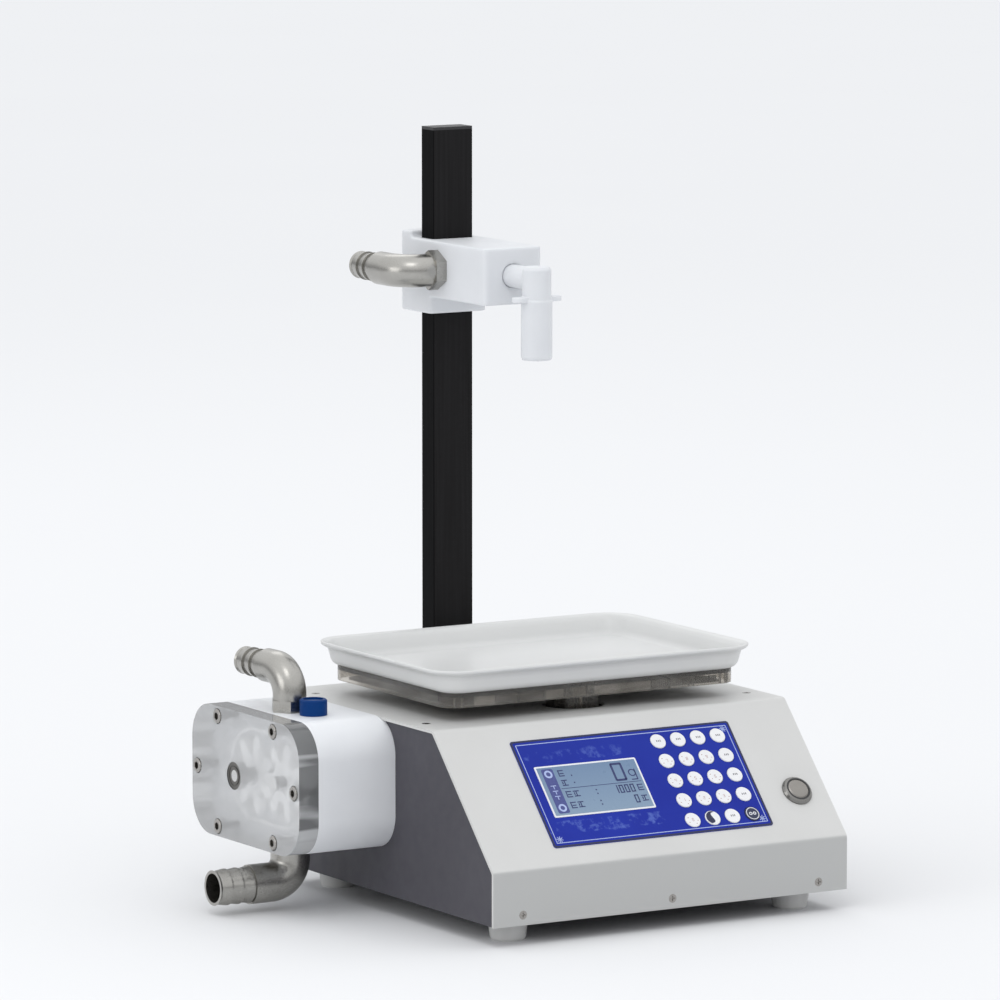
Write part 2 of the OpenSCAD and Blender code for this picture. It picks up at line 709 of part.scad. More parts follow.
// Stepped pump shaft: thin nose in the window's bearing, flat for the set screw at the rear
module drive_shaft() {
    front = PUMP_FRONT - window_t + 0.5;
    step = PUMP_FRONT - 1;
    back = COUPLING_X + 13;
    placed() color("silver") difference() {
        union() {
            rod_x(front, step - front + 0.1, NOSE_D, DRIVE_Y, pump_z);
            rod_x(step, back - step, SHAFT_D, DRIVE_Y, pump_z);
        }
        translate([COUPLING_X, DRIVE_Y - SHAFT_D, pump_z + SHAFT_D / 2 - 0.8])
            cube([20, 2 * SHAFT_D, 2]);
    }
}

// ---------- Pump gears ----------

// Angle and radius of a flank above the pitch circle. The rolling circle is half the pitch
// circle, so the mating flank below its pitch circle is a radial line.
function flank_point(t) =
    let (r = gear_c / 2)
    [1.5 * r * cos(t) - 0.5 * r * cos(3 * t), 1.5 * r * sin(t) - 0.5 * r * sin(3 * t)];
function flank_polar(t) = let (p = flank_point(t)) [atan2(p[1], p[0]), norm(p)];
// Rolling angle at which a flank reaches the tip radius
function tip_roll(low, high, n) =
    n == 0 ? low :
    let (mid = (low + high) / 2)
    flank_polar(mid)[1] < gear_tip_r ? tip_roll(mid, high, n - 1) : tip_roll(low, mid, n - 1);

module gear_outline() {
    half = 90 / gear_z - (gear_play / 2) / (gear_c / 2) * 180 / PI;
    root_r = gear_c - gear_tip_r - 0.4;
    pitch_a = 360 / gear_z;
    last_t = tip_roll(0, 40, 24);
    steps = 8;
    flank = [for (i = [0:steps]) flank_polar(last_t * i / steps)];
    side = concat(
        [[-pitch_a / 2, root_r], [-half - 5, root_r], [-half - 1.5, root_r + 0.5], [-half, root_r + 2]],
        [for (p = flank) [p[0] - half, p[1]]]
    );
    n = len(side);
    lobe = concat(side, [for (i = [1:n - 1]) [-side[n - i][0], side[n - i][1]]]);
    polygon([for (k = [0:gear_z - 1], p = lobe)
        p[1] * [cos(p[0] + k * pitch_a), sin(p[0] + k * pitch_a)]]);
}

module pump_gear(y, bore) {
    placed() color("white") difference() {
        translate([PUMP_FRONT + GEAR_GAP, y, pump_z]) rotate([90, 0, 90])
            linear_extrude(chamber_d - 2 * GEAR_GAP) gear_outline();
        rod_x(PUMP_FRONT - 1, chamber_d + 2, bore, y, pump_z);
    }
}

module drive_gear() {
    pump_gear(DRIVE_Y, SHAFT_D + 2 * CLEAR);
}

module idler_gear() {
    pump_gear(IDLER_Y, SHAFT_D + 2 * CLEAR);
}

module idler_shaft() {
    placed() color("silver")
        rod_x(PUMP_FRONT - 8, chamber_d + 18, SHAFT_D, IDLER_Y, pump_z);
}

// ---------- Pump head ----------

module pump_outline() {
    translate([pump_y, pump_z]) rounded_rect(pump_l, pump_h, pump_r);
}

module o_ring_track(r) {
    translate([gear_y, pump_z]) {
        for (s = [-1, 1]) translate([s * gear_c / 2, 0]) circle(r);
        square([gear_c, 2 * r], center = true);
    }
}

module pump_body() {
    placed() color("white") difference() {
        along_x(PUMP_FRONT, body_d) pump_outline();
        for (y = [DRIVE_Y, IDLER_Y])
            rod_x(PUMP_FRONT - 1, chamber_d + 1, 2 * CHAMBER_R, y, pump_z);
        // Suction and delivery ports into the middle of the chamber
        translate([-SIDE - port_x, gear_y, pump_z - pump_h / 2 - 1]) cylinder(h = 33, d = PORT_D);
        translate([-SIDE - port_x, gear_y, pump_z + 12]) cylinder(h = pump_h, d = PORT_D);
        translate([-SIDE - port_x, gear_y, pump_z - pump_h / 2 - 1])
            cylinder(h = THREAD_L + 2, d = INLET_THREAD_D + 2 * CLEAR);
        // Relief for the edge of the cover, which stands past the side panel
        translate([-case_w / 2 - COVER_RELIEF, pump_y - pump_l / 2, CEILING - COVER_RELIEF])
            cube([10, pump_l, 10]);
        // Groove of the chamber's ring
        along_x(PUMP_FRONT - 1, 3) difference() {
            o_ring_track(32.3);
            o_ring_track(29.7);
        }
        // Shaft passage, seal and rear bearing seats
        rod_x(CHAMBER_BACK - 1, 30, SHAFT_D + 0.4, DRIVE_Y, pump_z);
        rod_x(SEAL_X, 30, REAR_BEARING[1] + 2 * CLEAR, DRIVE_Y, pump_z);
        rod_x(CHAMBER_BACK - 1, 11.1, SHAFT_D + 2 * CLEAR, IDLER_Y, pump_z);
        for (p = PUMP_BOLTS)
            rod_x(PUMP_FRONT - 1, 20, PUMP_BOLT_D + 2 * CLEAR, pump_y + p[0], pump_z + p[1]);
        for (p = PUMP_FIXINGS)
            rod_x(-SIDE - 11, 14, BOLT_D + 2 * CLEAR, pump_y + p[0], pump_z + p[1]);
        translate([CAP_POS[0], CAP_POS[1], pump_z + pump_h / 2 - 8.1])
            cylinder(h = 10, d = CAP_STUB_D + 2 * CLEAR);
    }
}

module pump_window() {
    placed() color("azure", 0.5) difference() {
        along_x(PUMP_FRONT - window_t, window_t) pump_outline();
        rod_x(PUMP_FRONT - window_t - 1, FRONT_BEARING[2] + 1.5, FRONT_BEARING[1] + 2 * CLEAR,
            DRIVE_Y, pump_z);
        rod_x(PUMP_FRONT - window_t, window_t - 3, NOSE_D + 0.6, DRIVE_Y, pump_z);
        rod_x(PUMP_FRONT - 4, 5, SHAFT_D + 0.4, DRIVE_Y, pump_z);
        rod_x(PUMP_FRONT - 8.1, 9, SHAFT_D + 2 * CLEAR, IDLER_Y, pump_z);
        for (p = PUMP_BOLTS) {
            rod_x(PUMP_FRONT - window_t - 1, window_t + 2, PUMP_BOLT_D + 2 * CLEAR,
                pump_y + p[0], pump_z + p[1]);
            rod_x(PUMP_FRONT - window_t - 1, PUMP_HEAD_SINK + 1, PUMP_HEAD_D + 0.8,
                pump_y + p[0], pump_z + p[1]);
        }
    }
}

module pump_bolts() {
    placed() color("silver") for (p = PUMP_BOLTS)
        translate([PUMP_FRONT - window_t + PUMP_HEAD_SINK, pump_y + p[0], pump_z + p[1]])
            rotate([0, -90, 0]) cap_bolt(PUMP_BOLT_D, PUMP_HEAD_D, PUMP_BOLT_D, 28);
}

// Bearings: [bore, outside diameter, width], front face at x
module bearing_ring(x, width, d_in, d_out) {
    difference() {
        rod_x(x, width, d_out, DRIVE_Y, pump_z);
        rod_x(x - 1, width + 2, d_in, DRIVE_Y, pump_z);
    }
}

// Outer ring with its two shields, which stop short of the inner ring
module outer_ring(x, size) {
    wall = (size[1] - size[0]) / 2;
    bearing_ring(x, size[2], size[1] - 0.8 * wall, size[1]);
    for (s = [0.3, size[2] - 0.7])
        bearing_ring(x + s, 0.4, size[0] + 0.9 * wall, size[1] - 0.7 * wall);
}

module bearing_outer_rings() {
    placed() color("dimgray") {
        outer_ring(PUMP_FRONT - window_t + 0.5, FRONT_BEARING);
        outer_ring(REAR_BEARING_X, REAR_BEARING);
    }
}

module bearing_inner_rings() {
    front_wall = (FRONT_BEARING[1] - FRONT_BEARING[0]) / 2;
    rear_wall = (REAR_BEARING[1] - REAR_BEARING[0]) / 2;
    placed() color("silver") {
        bearing_ring(PUMP_FRONT - window_t + 0.5, FRONT_BEARING[2], NOSE_D + 2 * CLEAR,
            NOSE_D + 0.8 * front_wall);
        bearing_ring(REAR_BEARING_X, REAR_BEARING[2], SHAFT_D + 2 * CLEAR,
            SHAFT_D + 0.8 * rear_wall);
    }
}

module shaft_seal() {
    placed() color("black") difference() {
        rod_x(SEAL_X + 0.2, 6, REAR_BEARING[1], DRIVE_Y, pump_z);
        rod_x(SEAL_X - 1, 10, SHAFT_D + 2 * CLEAR, DRIVE_Y, pump_z);
        rod_x(SEAL_X + 3, 10, SHAFT_D + 5, DRIVE_Y, pump_z);
    }
}

module chamber_o_ring() {
    placed() color("black") along_x(PUMP_FRONT + 0.05, 1.9) difference() {
        o_ring_track(32.2);
        o_ring_track(29.8);
    }
}

// Blue screw cap over the pump's vent
module vent_cap() {
    placed() color("royalblue") translate([CAP_POS[0], CAP_POS[1], pump_z + pump_h / 2])
        difference() {
            union() {
                translate([0, 0, CLEAR]) cylinder(h = CAP_H - 1, d = CAP_D);
                translate([0, 0, CAP_H - 1]) cylinder(h = 1, d1 = CAP_D, d2 = CAP_D - 2);
                translate([0, 0, -8]) cylinder(h = 9, d = CAP_STUB_D);
            }
            translate([0, 0, CAP_H - 1.2]) cylinder(h = 2, d = CAP_D - 5);
        }
}

// ---------- Hose elbows ----------

// Barbs along Z from z = 0 to the open end: sloping ramps that end in short cylindrical lands
module barbs(crest, root, count) {
    land = 1.2;
    start = 0.3;
    lead = 1.5;
    rotate_extrude() polygon(concat(
        [[0, -1], [root, -1]],
        [for (i = [0:count - 1], p = [[root, start], [crest, start], [crest, start + land],
                                      [root, barb_pitch]])
            [p[0], i * barb_pitch + p[1]]],
        [[crest - 0.4, count * barb_pitch + lead], [0, count * barb_pitch + lead]]
    ));
}

// Tube that rises along Z, turns through a right angle and runs along Y
module elbow_path(d, start, up, out) {
    turn_r = up - 3;
    translate([0, 0, start]) cylinder(h = up - turn_r - start, d = d);
    translate([0, turn_r, up - turn_r]) rotate([90, 0, 90]) rotate([0, 0, 90])
        rotate_extrude(angle = 90) translate([turn_r, 0]) circle(d = d);
    translate([0, turn_r, up]) rotate([-90, 0, 0]) cylinder(h = out - turn_r, d = d);
}

// Elbow screwed in along -Z at z = 0: thread, base given as a child, bent tube and barbs
module hose_elbow(tube_d, crest_d, thread_d, base_h, up, out) {
    wall = 2.5;
    count = 3;
    barb_l = count * barb_pitch + 1.5;
    difference() {
        union() {
            translate([0, 0, -THREAD_L]) cylinder(h = THREAD_L + 1, d = thread_d);
            children();
            translate([0, 0, base_h]) elbow_path(tube_d, -2, up, out - barb_l);
            translate([0, out - barb_l, base_h + up]) rotate([-90, 0, 0])
                barbs(crest_d / 2, crest_d / 2 - 1.1, count);
        }
        translate([0, 0, base_h])
            elbow_path(crest_d - 2 * wall, -base_h - THREAD_L - 1, up, out + 2);
    }
}

// Hexagon of an elbow, given its width across flats
module hexagon_base(across) {
    cylinder(h = HEX_H, d = across / cos(30), $fn = 6);
}

module outlet_elbow() {
    placed() color("silver") translate([-SIDE - port_x, gear_y, pump_z + pump_h / 2])
        rotate([0, 0, OUTLET_TURN])
            hose_elbow(ELBOW_TUBE_D, barb_d, PORT_D - 2 * CLEAR, HEX_H, ELBOW_UP, OUTLET_OUT)
                hexagon_base(23);
}

// The inlet has a round flange instead of a hexagon
module inlet_elbow() {
    placed() color("silver") translate([-SIDE - port_x, gear_y, pump_z - pump_h / 2])
        rotate([180, 0, 0]) rotate([0, 0, 90])
            hose_elbow(INLET_TUBE_D, inlet_barb_d, INLET_THREAD_D, HEX_H, INLET_UP, INLET_OUT)
                union() {
                    cylinder(h = INLET_FLANGE_H, d = INLET_FLANGE_D);
                    cylinder(h = HEX_H, d = INLET_TUBE_D - 2);
                }
}

module nozzle_elbow() {
    placed() color("silver") translate([-block_w / 2, BLOCK_PORT[0], BLOCK_PORT[1]])
        rotate([0, -90, 0])
            hose_elbow(ELBOW_TUBE_D, barb_d, PORT_D - 2 * CLEAR, HEX_H, ELBOW_UP, NOZZLE_HOSE_OUT)
                hexagon_base(24);
}

// ---------- Post and nozzle ----------

module post() {
    placed() color("black") translate([0, POST_Y, 0]) difference() {
        translate([0, 0, post_foot]) rounded_box(post_w, post_d, post_top - post_foot, 1);
        translate([0, 0, post_foot + post_t])
            rounded_box(post_w - 2 * post_t, post_d - 2 * post_t, post_top, 0.4);
        for (z = [30, 95]) rod_y(-post_d, post_d, BOLT_D + 2 * CLEAR, 0, z);
    }
}

module post_cap() {
    inner = 2 * post_t + 2 * CLEAR;
    placed() color("black") translate([0, POST_Y, post_top]) union() {
        rounded_box(post_w, post_d, 2, 1);
        translate([0, 0, -10]) rounded_box(post_w - inner, post_d - inner, 10.1, 0.4);
    }
}

// Arm with its liquid passage, and the collar that slides on the post
module nozzle_block() {
    collar_d = CLAMP_Y1 - CLAMP_Y0;
    placed() color("whitesmoke") difference() {
        union() {
            translate([0, (CLAMP_Y0 + CLAMP_Y1) / 2, CLAMP_Z0])
                rounded_box(block_w, collar_d, arm_z + arm_h - CLAMP_Z0, 3);
            // Raised plate behind the post
            translate([0, (CLAMP_PLATE_Y + CLAMP_Y1) / 2, CLAMP_Z0])
                rounded_box(block_w, CLAMP_Y1 - CLAMP_PLATE_Y, CLAMP_Z1 - CLAMP_Z0, 3);
            translate([-block_w / 2, arm_y + 3, arm_z]) cube([block_w, CLAMP_Y0 - arm_y, arm_h]);
            translate([3 - block_w / 2, arm_y, arm_z]) cube([block_w - 6, 10, arm_h]);
            for (x = [-1, 1]) translate([x * (block_w / 2 - 3), arm_y + 3, arm_z])
                cylinder(h = arm_h, r = 3);
        }
        translate([0, POST_Y, CLAMP_Z0 - 1])
            rounded_box(post_w + 2 * SLIDE_GAP, post_d + 2 * SLIDE_GAP, 90, 1);
        // Passage from the elbow's thread to the nozzle's stub
        rod_x(-block_w / 2 - 1, THREAD_L + 1.5, PORT_D, BLOCK_PORT[0], BLOCK_PORT[1]);
        rod_x(-block_w / 2 - 1, block_w / 2 + 8, 14, BLOCK_PORT[0], BLOCK_PORT[1]);
        rod_y(arm_y - 1, BLOCK_PORT[0] - arm_y + 1, 12, 0, BLOCK_PORT[1]);
        rod_y(arm_y - 1, 16, 16, 0, BLOCK_PORT[1]);
        rod_y(POST_Y, 40, STUD_D + 2 * CLEAR, 0, KNOB_Z);
    }
}

// Small knob with a scalloped grip on a threaded stud
module clamp_knob() {
    stud_start = BACK + post_d + SLIDE_GAP;
    grip_l = 13;
    scallops = 8;
    placed() color("black") union() {
        rod_y(stud_start, KNOB_END - stud_start - 5, STUD_D, 0, KNOB_Z);
        rod_y(CLAMP_Y1 + 1, 6, KNOB_D - 5, 0, KNOB_Z);
        translate([0, KNOB_END, KNOB_Z]) rotate([90, 0, 0]) linear_extrude(grip_l)
            difference() {
                circle(d = KNOB_D);
                for (i = [0:scallops - 1]) rotate(i * 360 / scallops)
                    translate([KNOB_D / 2 + 1, 0]) circle(d = 5);
            }
    }
}

// Nozzle: stub into the arm, upright tube with two ears, and the lower sleeve
module nozzle_tube() {
    neck_d = 20;
    ear_z = nozzle_z + 40;
    top_z = nozzle_z + 64;
    placed() color("whitesmoke") difference() {
        union() {
            rod_y(nozzle_y, arm_y - nozzle_y + 14, 16 - 2 * CLEAR, 0, BLOCK_PORT[1]);
            translate([0, nozzle_y, ear_z]) cylinder(h = top_z - ear_z - 2, d = neck_d);
            translate([0, nozzle_y, top_z - 2]) cylinder(h = 2, d1 = neck_d, d2 = neck_d - 3);
            translate([0, nozzle_y, nozzle_z + 2]) cylinder(h = ear_z - nozzle_z - 1, d = nozzle_d);
            translate([0, nozzle_y, nozzle_z]) cylinder(h = 2, d1 = nozzle_d - 1.6, d2 = nozzle_d);
            translate([0, nozzle_y, ear_z]) rounded_box(38, 9, 3.6, 4.4);
        }
        translate([0, nozzle_y, nozzle_z - 1])
            cylinder(h = BLOCK_PORT[1] - nozzle_z + 1, d = nozzle_bore_d);
        rod_y(nozzle_y, 60, 11, 0, BLOCK_PORT[1]);
    }
}

// ---------- Nodes ----------

base_chassis();
top_cover();
cover_screws();
rubber_feet();
frame_bolts();
keypad_overlay();
lcd_module();
control_board();
start_button_bezel();
start_button();
power_supply();
power_inlet();
power_rocker();
load_cell();
platform();
tray();
motor_bracket();
motor_body();
motor_shaft();
shaft_coupling();
drive_shaft();
drive_gear();
idler_gear();
idler_shaft();
pump_body();
pump_window();
pump_bolts();
bearing_outer_rings();
bearing_inner_rings();
shaft_seal();
chamber_o_ring();
inlet_elbow();
outlet_elbow();
vent_cap();
post();
post_cap();
nozzle_block();
clamp_knob();
nozzle_elbow();
nozzle_tube();
for (i = [1:KEY_ROWS * KEY_COLS])
    key(i);
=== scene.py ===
"""Looks of a desktop liquid filler with a gear pump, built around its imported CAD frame.

Everything is in metres in the frame's own axes: X to the right, Y to the rear, Z up.
"""
import json
import math

import bmesh
import bpy
from mathutils import Matrix, Vector


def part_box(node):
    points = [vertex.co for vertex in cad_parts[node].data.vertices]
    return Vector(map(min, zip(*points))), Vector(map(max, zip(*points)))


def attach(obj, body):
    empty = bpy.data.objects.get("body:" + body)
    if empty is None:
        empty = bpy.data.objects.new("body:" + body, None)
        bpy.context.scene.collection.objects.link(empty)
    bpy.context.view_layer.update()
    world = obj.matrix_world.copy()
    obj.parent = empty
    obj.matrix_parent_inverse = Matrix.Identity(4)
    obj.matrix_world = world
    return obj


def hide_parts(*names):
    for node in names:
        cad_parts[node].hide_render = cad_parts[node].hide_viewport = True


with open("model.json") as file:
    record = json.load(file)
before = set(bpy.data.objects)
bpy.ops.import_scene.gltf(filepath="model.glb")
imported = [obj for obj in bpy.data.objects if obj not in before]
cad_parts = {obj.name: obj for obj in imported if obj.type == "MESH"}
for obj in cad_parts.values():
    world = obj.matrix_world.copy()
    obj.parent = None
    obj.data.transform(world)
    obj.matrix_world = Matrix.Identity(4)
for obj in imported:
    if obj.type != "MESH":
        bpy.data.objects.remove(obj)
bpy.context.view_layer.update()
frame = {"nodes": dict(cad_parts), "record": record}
NODES = frame["nodes"]

MM = 0.001
X_AXIS = Vector((1, 0, 0))

# The control face slopes up to the rear at this angle
PANEL_ANGLE = math.radians(47)
UP_PANEL = Vector((0, math.cos(PANEL_ANGLE), math.sin(PANEL_ANGLE)))
OUT_OF_PANEL = Vector((0, -math.sin(PANEL_ANGLE), math.cos(PANEL_ANGLE)))

# Printed marks stand this far proud of what they are printed on
INK = 0.06 * MM


# ---------- Places, taken from the frame ----------

def face_centre(node, direction):
    """Middle of the part of a CAD node that reaches furthest along direction."""
    points = [v.co for v in NODES[node].data.vertices]
    reach = max(p.dot(direction) for p in points)
    face = [p for p in points if reach - p.dot(direction) < 0.01 * MM]
    low = Vector([min(p[i] for p in face) for i in range(3)])
    high = Vector([max(p[i] for p in face) for i in range(3)])
    return (low + high) / 2


def on_panel(point):
    """Matrix that lays a drawing in XY on the control face, with its middle at point."""
    return place(point, X_AXIS, UP_PANEL, OUT_OF_PANEL)


def place(point, x_axis, y_axis, z_axis):
    """Matrix that puts the origin at point and turns the axes to the given ones."""
    matrix = Matrix((x_axis, y_axis, z_axis)).transposed().to_4x4()
    matrix.translation = point
    return matrix


def panel_size(node):
    """Width and height of a CAD node that lies on the control face, along the face."""
    points = [v.co for v in NODES[node].data.vertices]
    across = [p.dot(X_AXIS) for p in points]
    up = [p.dot(UP_PANEL) for p in points]
    return max(across) - min(across), max(up) - min(up)


# ---------- Outlines and meshes ----------

def rounded_rect(width, height, radius, steps=8):
    """Points of a rectangle with round corners, anticlockwise round the origin."""
    points = []
    for quarter, (sx, sy) in enumerate(((1, 1), (-1, 1), (-1, -1), (1, -1))):
        cx = sx * (width / 2 - radius)
        cy = sy * (height / 2 - radius)
        for i in range(steps + 1):
            a = math.pi / 2 * (quarter + i / steps)
            points.append((cx + radius * math.cos(a), cy + radius * math.sin(a)))
    return points


def regular(count, radius):
    """Points of a regular polygon round the origin."""
    return [(radius * math.cos(2 * math.pi * i / count),
             radius * math.sin(2 * math.pi * i / count)) for i in range(count)]


def add_prism(bm, outline, low, high, matrix=Matrix()):
    """Adds a closed flat-ended solid over an outline, from low to high along Z."""
    rings = [[bm.verts.new(matrix @ Vector((x, y, z))) for x, y in outline] for z in (low, high)]
    count = len(outline)
    for i in range(count):
        j = (i + 1) % count
        bm.faces.new((rings[0][i], rings[0][j], rings[1][j], rings[1][i]))
    bm.faces.new(rings[1])
    bm.faces.new(rings[0][::-1])


def add_band(bm, outer, inner, low, high, matrix=Matrix()):
    """Adds a closed band between two outlines that have the same number of points."""
    rings = [[bm.verts.new(matrix @ Vector((x, y, z))) for x, y in outline]
             for outline, z in ((outer, low), (outer, high), (inner, high), (inner, low))]
    count = len(outer)
    for ring in range(4):
        a, b = rings[ring], rings[(ring + 1) % 4]
        for i in range(count):
            j = (i + 1) % count
            bm.faces.new((a[i], a[j], b[j], b[i]))


def add_loft(bm, rings):
    """Adds a closed skin over a list of rings, all with the same number of points."""
    made = [[bm.verts.new(p) for p in ring] for ring in rings]
    count = len(made[0])
    for a, b in zip(made, made[1:]):
        for i in range(count):
            j = (i + 1) % count
            bm.faces.new((a[i], a[j], b[j], b[i]))
    bm.faces.new(made[0][::-1])
    bm.faces.new(made[-1])


def piece(name, bm, look, body, smooth=math.radians(35)):
    """Turns a bmesh into an object of the part that rides on a CAD body."""
    bmesh.ops.recalc_face_normals(bm, faces=bm.faces)
    mesh = bpy.data.meshes.new(name)
    bm.to_mesh(mesh)
    bm.free()
    obj = bpy.data.objects.new(name, mesh)
    bpy.context.scene.collection.objects.link(obj)
    mesh.materials.append(look)
    mesh.shade_smooth()
    mesh.set_sharp_from_angle(angle=smooth)
    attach(obj, body)
    return obj


# ---------- Materials ----------

class Finish:
    """A Principled material whose colour, gloss and relief come from layers of nodes."""

    def __init__(self, name, color, roughness, metallic=0.0, **settings):
        self.material = bpy.data.materials.new(name)
        self.material.use_nodes = True
        self.nodes = self.material.node_tree.nodes
        self.links = self.material.node_tree.links
        self.shader = self.nodes["Principled BSDF"]
        self.shader.inputs["Base Color"].default_value = (*color, 1)
        self.shader.inputs["Roughness"].default_value = roughness
        self.shader.inputs["Metallic"].default_value = metallic
        for key, value in settings.items():
            self.shader.inputs[key.replace("_", " ")].default_value = value
        self.color = None
        self.place = self.nodes.new("ShaderNodeTexCoord").outputs["Object"]

    def stretched(self, stretch):
        """Places in the object, scaled by stretch along each axis."""
        mapping = self.nodes.new("ShaderNodeMapping")
        mapping.inputs["Scale"].default_value = stretch
        self.links.new(self.place, mapping.inputs["Vector"])
        return mapping.outputs["Vector"]

    def noise(self, size, detail=3.0, stretch=(1, 1, 1), rough=0.5):
        """Cloudy mask with blobs about size metres across."""
        node = self.nodes.new("ShaderNodeTexNoise")
        node.inputs["Scale"].default_value = 1 / size
        node.inputs["Detail"].default_value = detail
        node.inputs["Roughness"].default_value = rough
        self.links.new(self.stretched(stretch), node.inputs["Vector"])
        return node.outputs["Fac"]

    def cells(self, size):
        """Mask of small cells about size metres across."""
        node = self.nodes.new("ShaderNodeTexVoronoi")
        node.inputs["Scale"].default_value = 1 / size
        self.links.new(self.place, node.inputs["Vector"])
        return node.outputs["Distance"]

    def along(self, axis, low, high):
        """Mask that rises from 0 to 1 between two distances along an axis of the frame."""
        dot = self.nodes.new("ShaderNodeVectorMath")
        dot.operation = "DOT_PRODUCT"
        self.links.new(self.place, dot.inputs[0])
        dot.inputs[1].default_value = axis
        return self.span(dot.outputs["Value"], low, high)

    def edge_faces(self):
        """Mask that is 0 on faces that look along X, and 1 on all others."""
        size = self.nodes.new("ShaderNodeMath")
        size.operation = "ABSOLUTE"
        self.links.new(self.facing(X_AXIS), size.inputs[0])
        return self.span(size.outputs["Value"], 0.9, 0.7)

    def facing(self, axis):
        """How far a face looks along an axis of the frame, from -1 to 1."""
        geometry = self.nodes.new("ShaderNodeNewGeometry")
        dot = self.nodes.new("ShaderNodeVectorMath")
        dot.operation = "DOT_PRODUCT"
        self.links.new(geometry.outputs["Normal"], dot.inputs[0])
        dot.inputs[1].default_value = axis
        return dot.outputs["Value"]

    def span(self, mask, low, high, to_low=0.0, to_high=1.0):
        """The mask's stretch from low to high, spread over to_low to to_high."""
        node = self.nodes.new("ShaderNodeMapRange")
        for key, value in (("From Min", low), ("From Max", high),
                           ("To Min", to_low), ("To Max", to_high)):
            node.inputs[key].default_value = value
        self.links.new(mask, node.inputs["Value"])
        return node.outputs["Result"]

    def times(self, a, b):
        """Mask that is high where both masks are."""
        node = self.nodes.new("ShaderNodeMath")
        node.operation = "MULTIPLY"
        self.links.new(a, node.inputs[0])
        self.links.new(b, node.inputs[1])
        return node.outputs["Value"]

    def tint(self, mask, color, low=0.35, high=0.65, amount=1.0):
        """Lets the colour go towards another one where the mask is high."""
        mix = self.nodes.new("ShaderNodeMix")
        mix.data_type = "RGBA"
        self.links.new(self.span(mask, low, high, 0.0, amount), mix.inputs["Factor"])
        if self.color is None:
            mix.inputs[6].default_value = self.shader.inputs["Base Color"].default_value
        else:
            self.links.new(self.color, mix.inputs[6])
        mix.inputs[7].default_value = (*color, 1)
        self.color = mix.outputs[2]
        self.links.new(self.color, self.shader.inputs["Base Color"])
        return self

    def gloss(self, mask, low, high):
        """Roughness from low to high, following the mask."""
        self.links.new(self.span(mask, 0.3, 0.7, low, high), self.shader.inputs["Roughness"])
        return self

    def relief(self, mask, depth):
        """Bump of depth metres that follows the mask."""
        bump = self.nodes.new("ShaderNodeBump")
        bump.inputs["Distance"].default_value = depth
        self.links.new(mask, bump.inputs["Height"])
        self.links.new(bump.outputs["Normal"], self.shader.inputs["Normal"])
        return self


def powder_coat(name, color, shade, roughness, front=None):
    """Baked paint with a fine orange peel and faint clouds; upright fronts get the front colour as
    painted shade.
    """
    f = Finish(name, color, roughness)
    f.tint(f.noise(60 * MM, 4), shade, 0.35, 0.7, 0.55)
    f.tint(f.noise(0.5 * MM, 2), shade, 0.5, 0.75, 0.25)
    if front:
        # Painted shade: faces that look to the front take the darker front colour, standing in for
        # the shade that falls on them.
        f.tint(f.facing(Vector((0, -1, 0))), front, 0.85, 0.97)
    f.gloss(f.noise(9 * MM, 3), roughness - 0.05, roughness + 0.07)
    f.relief(f.noise(1.1 * MM, 3), 0.022 * MM)
    return f.material


def chassis_paint():
    return powder_coat("chassis_paint", (0.064, 0.062, 0.076), (0.050, 0.048, 0.060), 0.55)


def cover_paint():
    # The front colour is painted shade on the upright lip.
    return powder_coat("cover_paint", (0.63, 0.63, 0.62), (0.58, 0.578, 0.565), 0.42,
                       (0.47, 0.475, 0.47))


def steel(name, color, roughness, grain_size, stretch):
    """Satin metal: fine grain drawn out along the lay of the finish, with soft stains."""
    f = Finish(name, color, roughness, 1.0)
    dark = tuple(c * 0.78 for c in color)
    f.tint(f.noise(14 * MM, 4), dark, 0.4, 0.75, 0.5)
    f.tint(f.noise(grain_size, 3, stretch), dark, 0.45, 0.7, 0.35)
    f.gloss(f.noise(grain_size, 4, stretch), roughness - 0.06, roughness + 0.10)
    f.relief(f.noise(grain_size, 3, stretch), 0.010 * MM)
    return f.material


def screw_steel():
    return steel("screw_steel", (0.38, 0.365, 0.345), 0.26, 0.5 * MM, (1, 1, 1))


def stainless():
    return steel("stainless", (0.43, 0.42, 0.395), 0.27, 0.35 * MM, (1, 1, 1))


def shaft_steel():
    return steel("shaft_steel", (0.66, 0.66, 0.65), 0.22, 0.3 * MM, (6, 1, 1))


def bearing_steel():
    return steel("bearing_steel", (0.15, 0.145, 0.135), 0.30, 0.3 * MM, (1, 1, 1))


def coupling_alloy():
    return steel("coupling_alloy", (0.70, 0.71, 0.72), 0.32, 0.4 * MM, (5, 1, 1))


def load_cell_alloy():
    return steel("load_cell_alloy", (0.72, 0.72, 0.73), 0.38, 0.6 * MM, (1, 0.1, 1))


def bracket_steel():
    return steel("bracket_steel", (0.50, 0.50, 0.51), 0.40, 0.8 * MM, (1, 1, 0.2))


def psu_case():
    return steel("psu_case", (0.62, 0.63, 0.64), 0.42, 1.5 * MM, (1, 1, 1))


def moulded(name, color, shade, roughness, grain=0.6 * MM, depth=0.01 * MM, **settings):
    """Moulded or turned plastic: even colour with slight clouding and a fine grain."""
    f = Finish(name, color, roughness, 0.0, **settings)
    f.tint(f.noise(25 * MM, 4), shade, 0.35, 0.7, 0.5)
    f.gloss(f.noise(5 * MM, 4), roughness - 0.05, roughness + 0.08)
    f.relief(f.noise(grain, 3), depth)
    return f.material


def foot_rubber():
    return moulded("foot_rubber", (0.66, 0.66, 0.65), (0.58, 0.58, 0.57), 0.55)


def black_plastic():
    return moulded("black_plastic", (0.018, 0.018, 0.02), (0.03, 0.03, 0.032), 0.42,
                   0.4 * MM, 0.02 * MM)


def rocker_red():
    return moulded("rocker_red", (0.55, 0.02, 0.02), (0.45, 0.015, 0.015), 0.3)


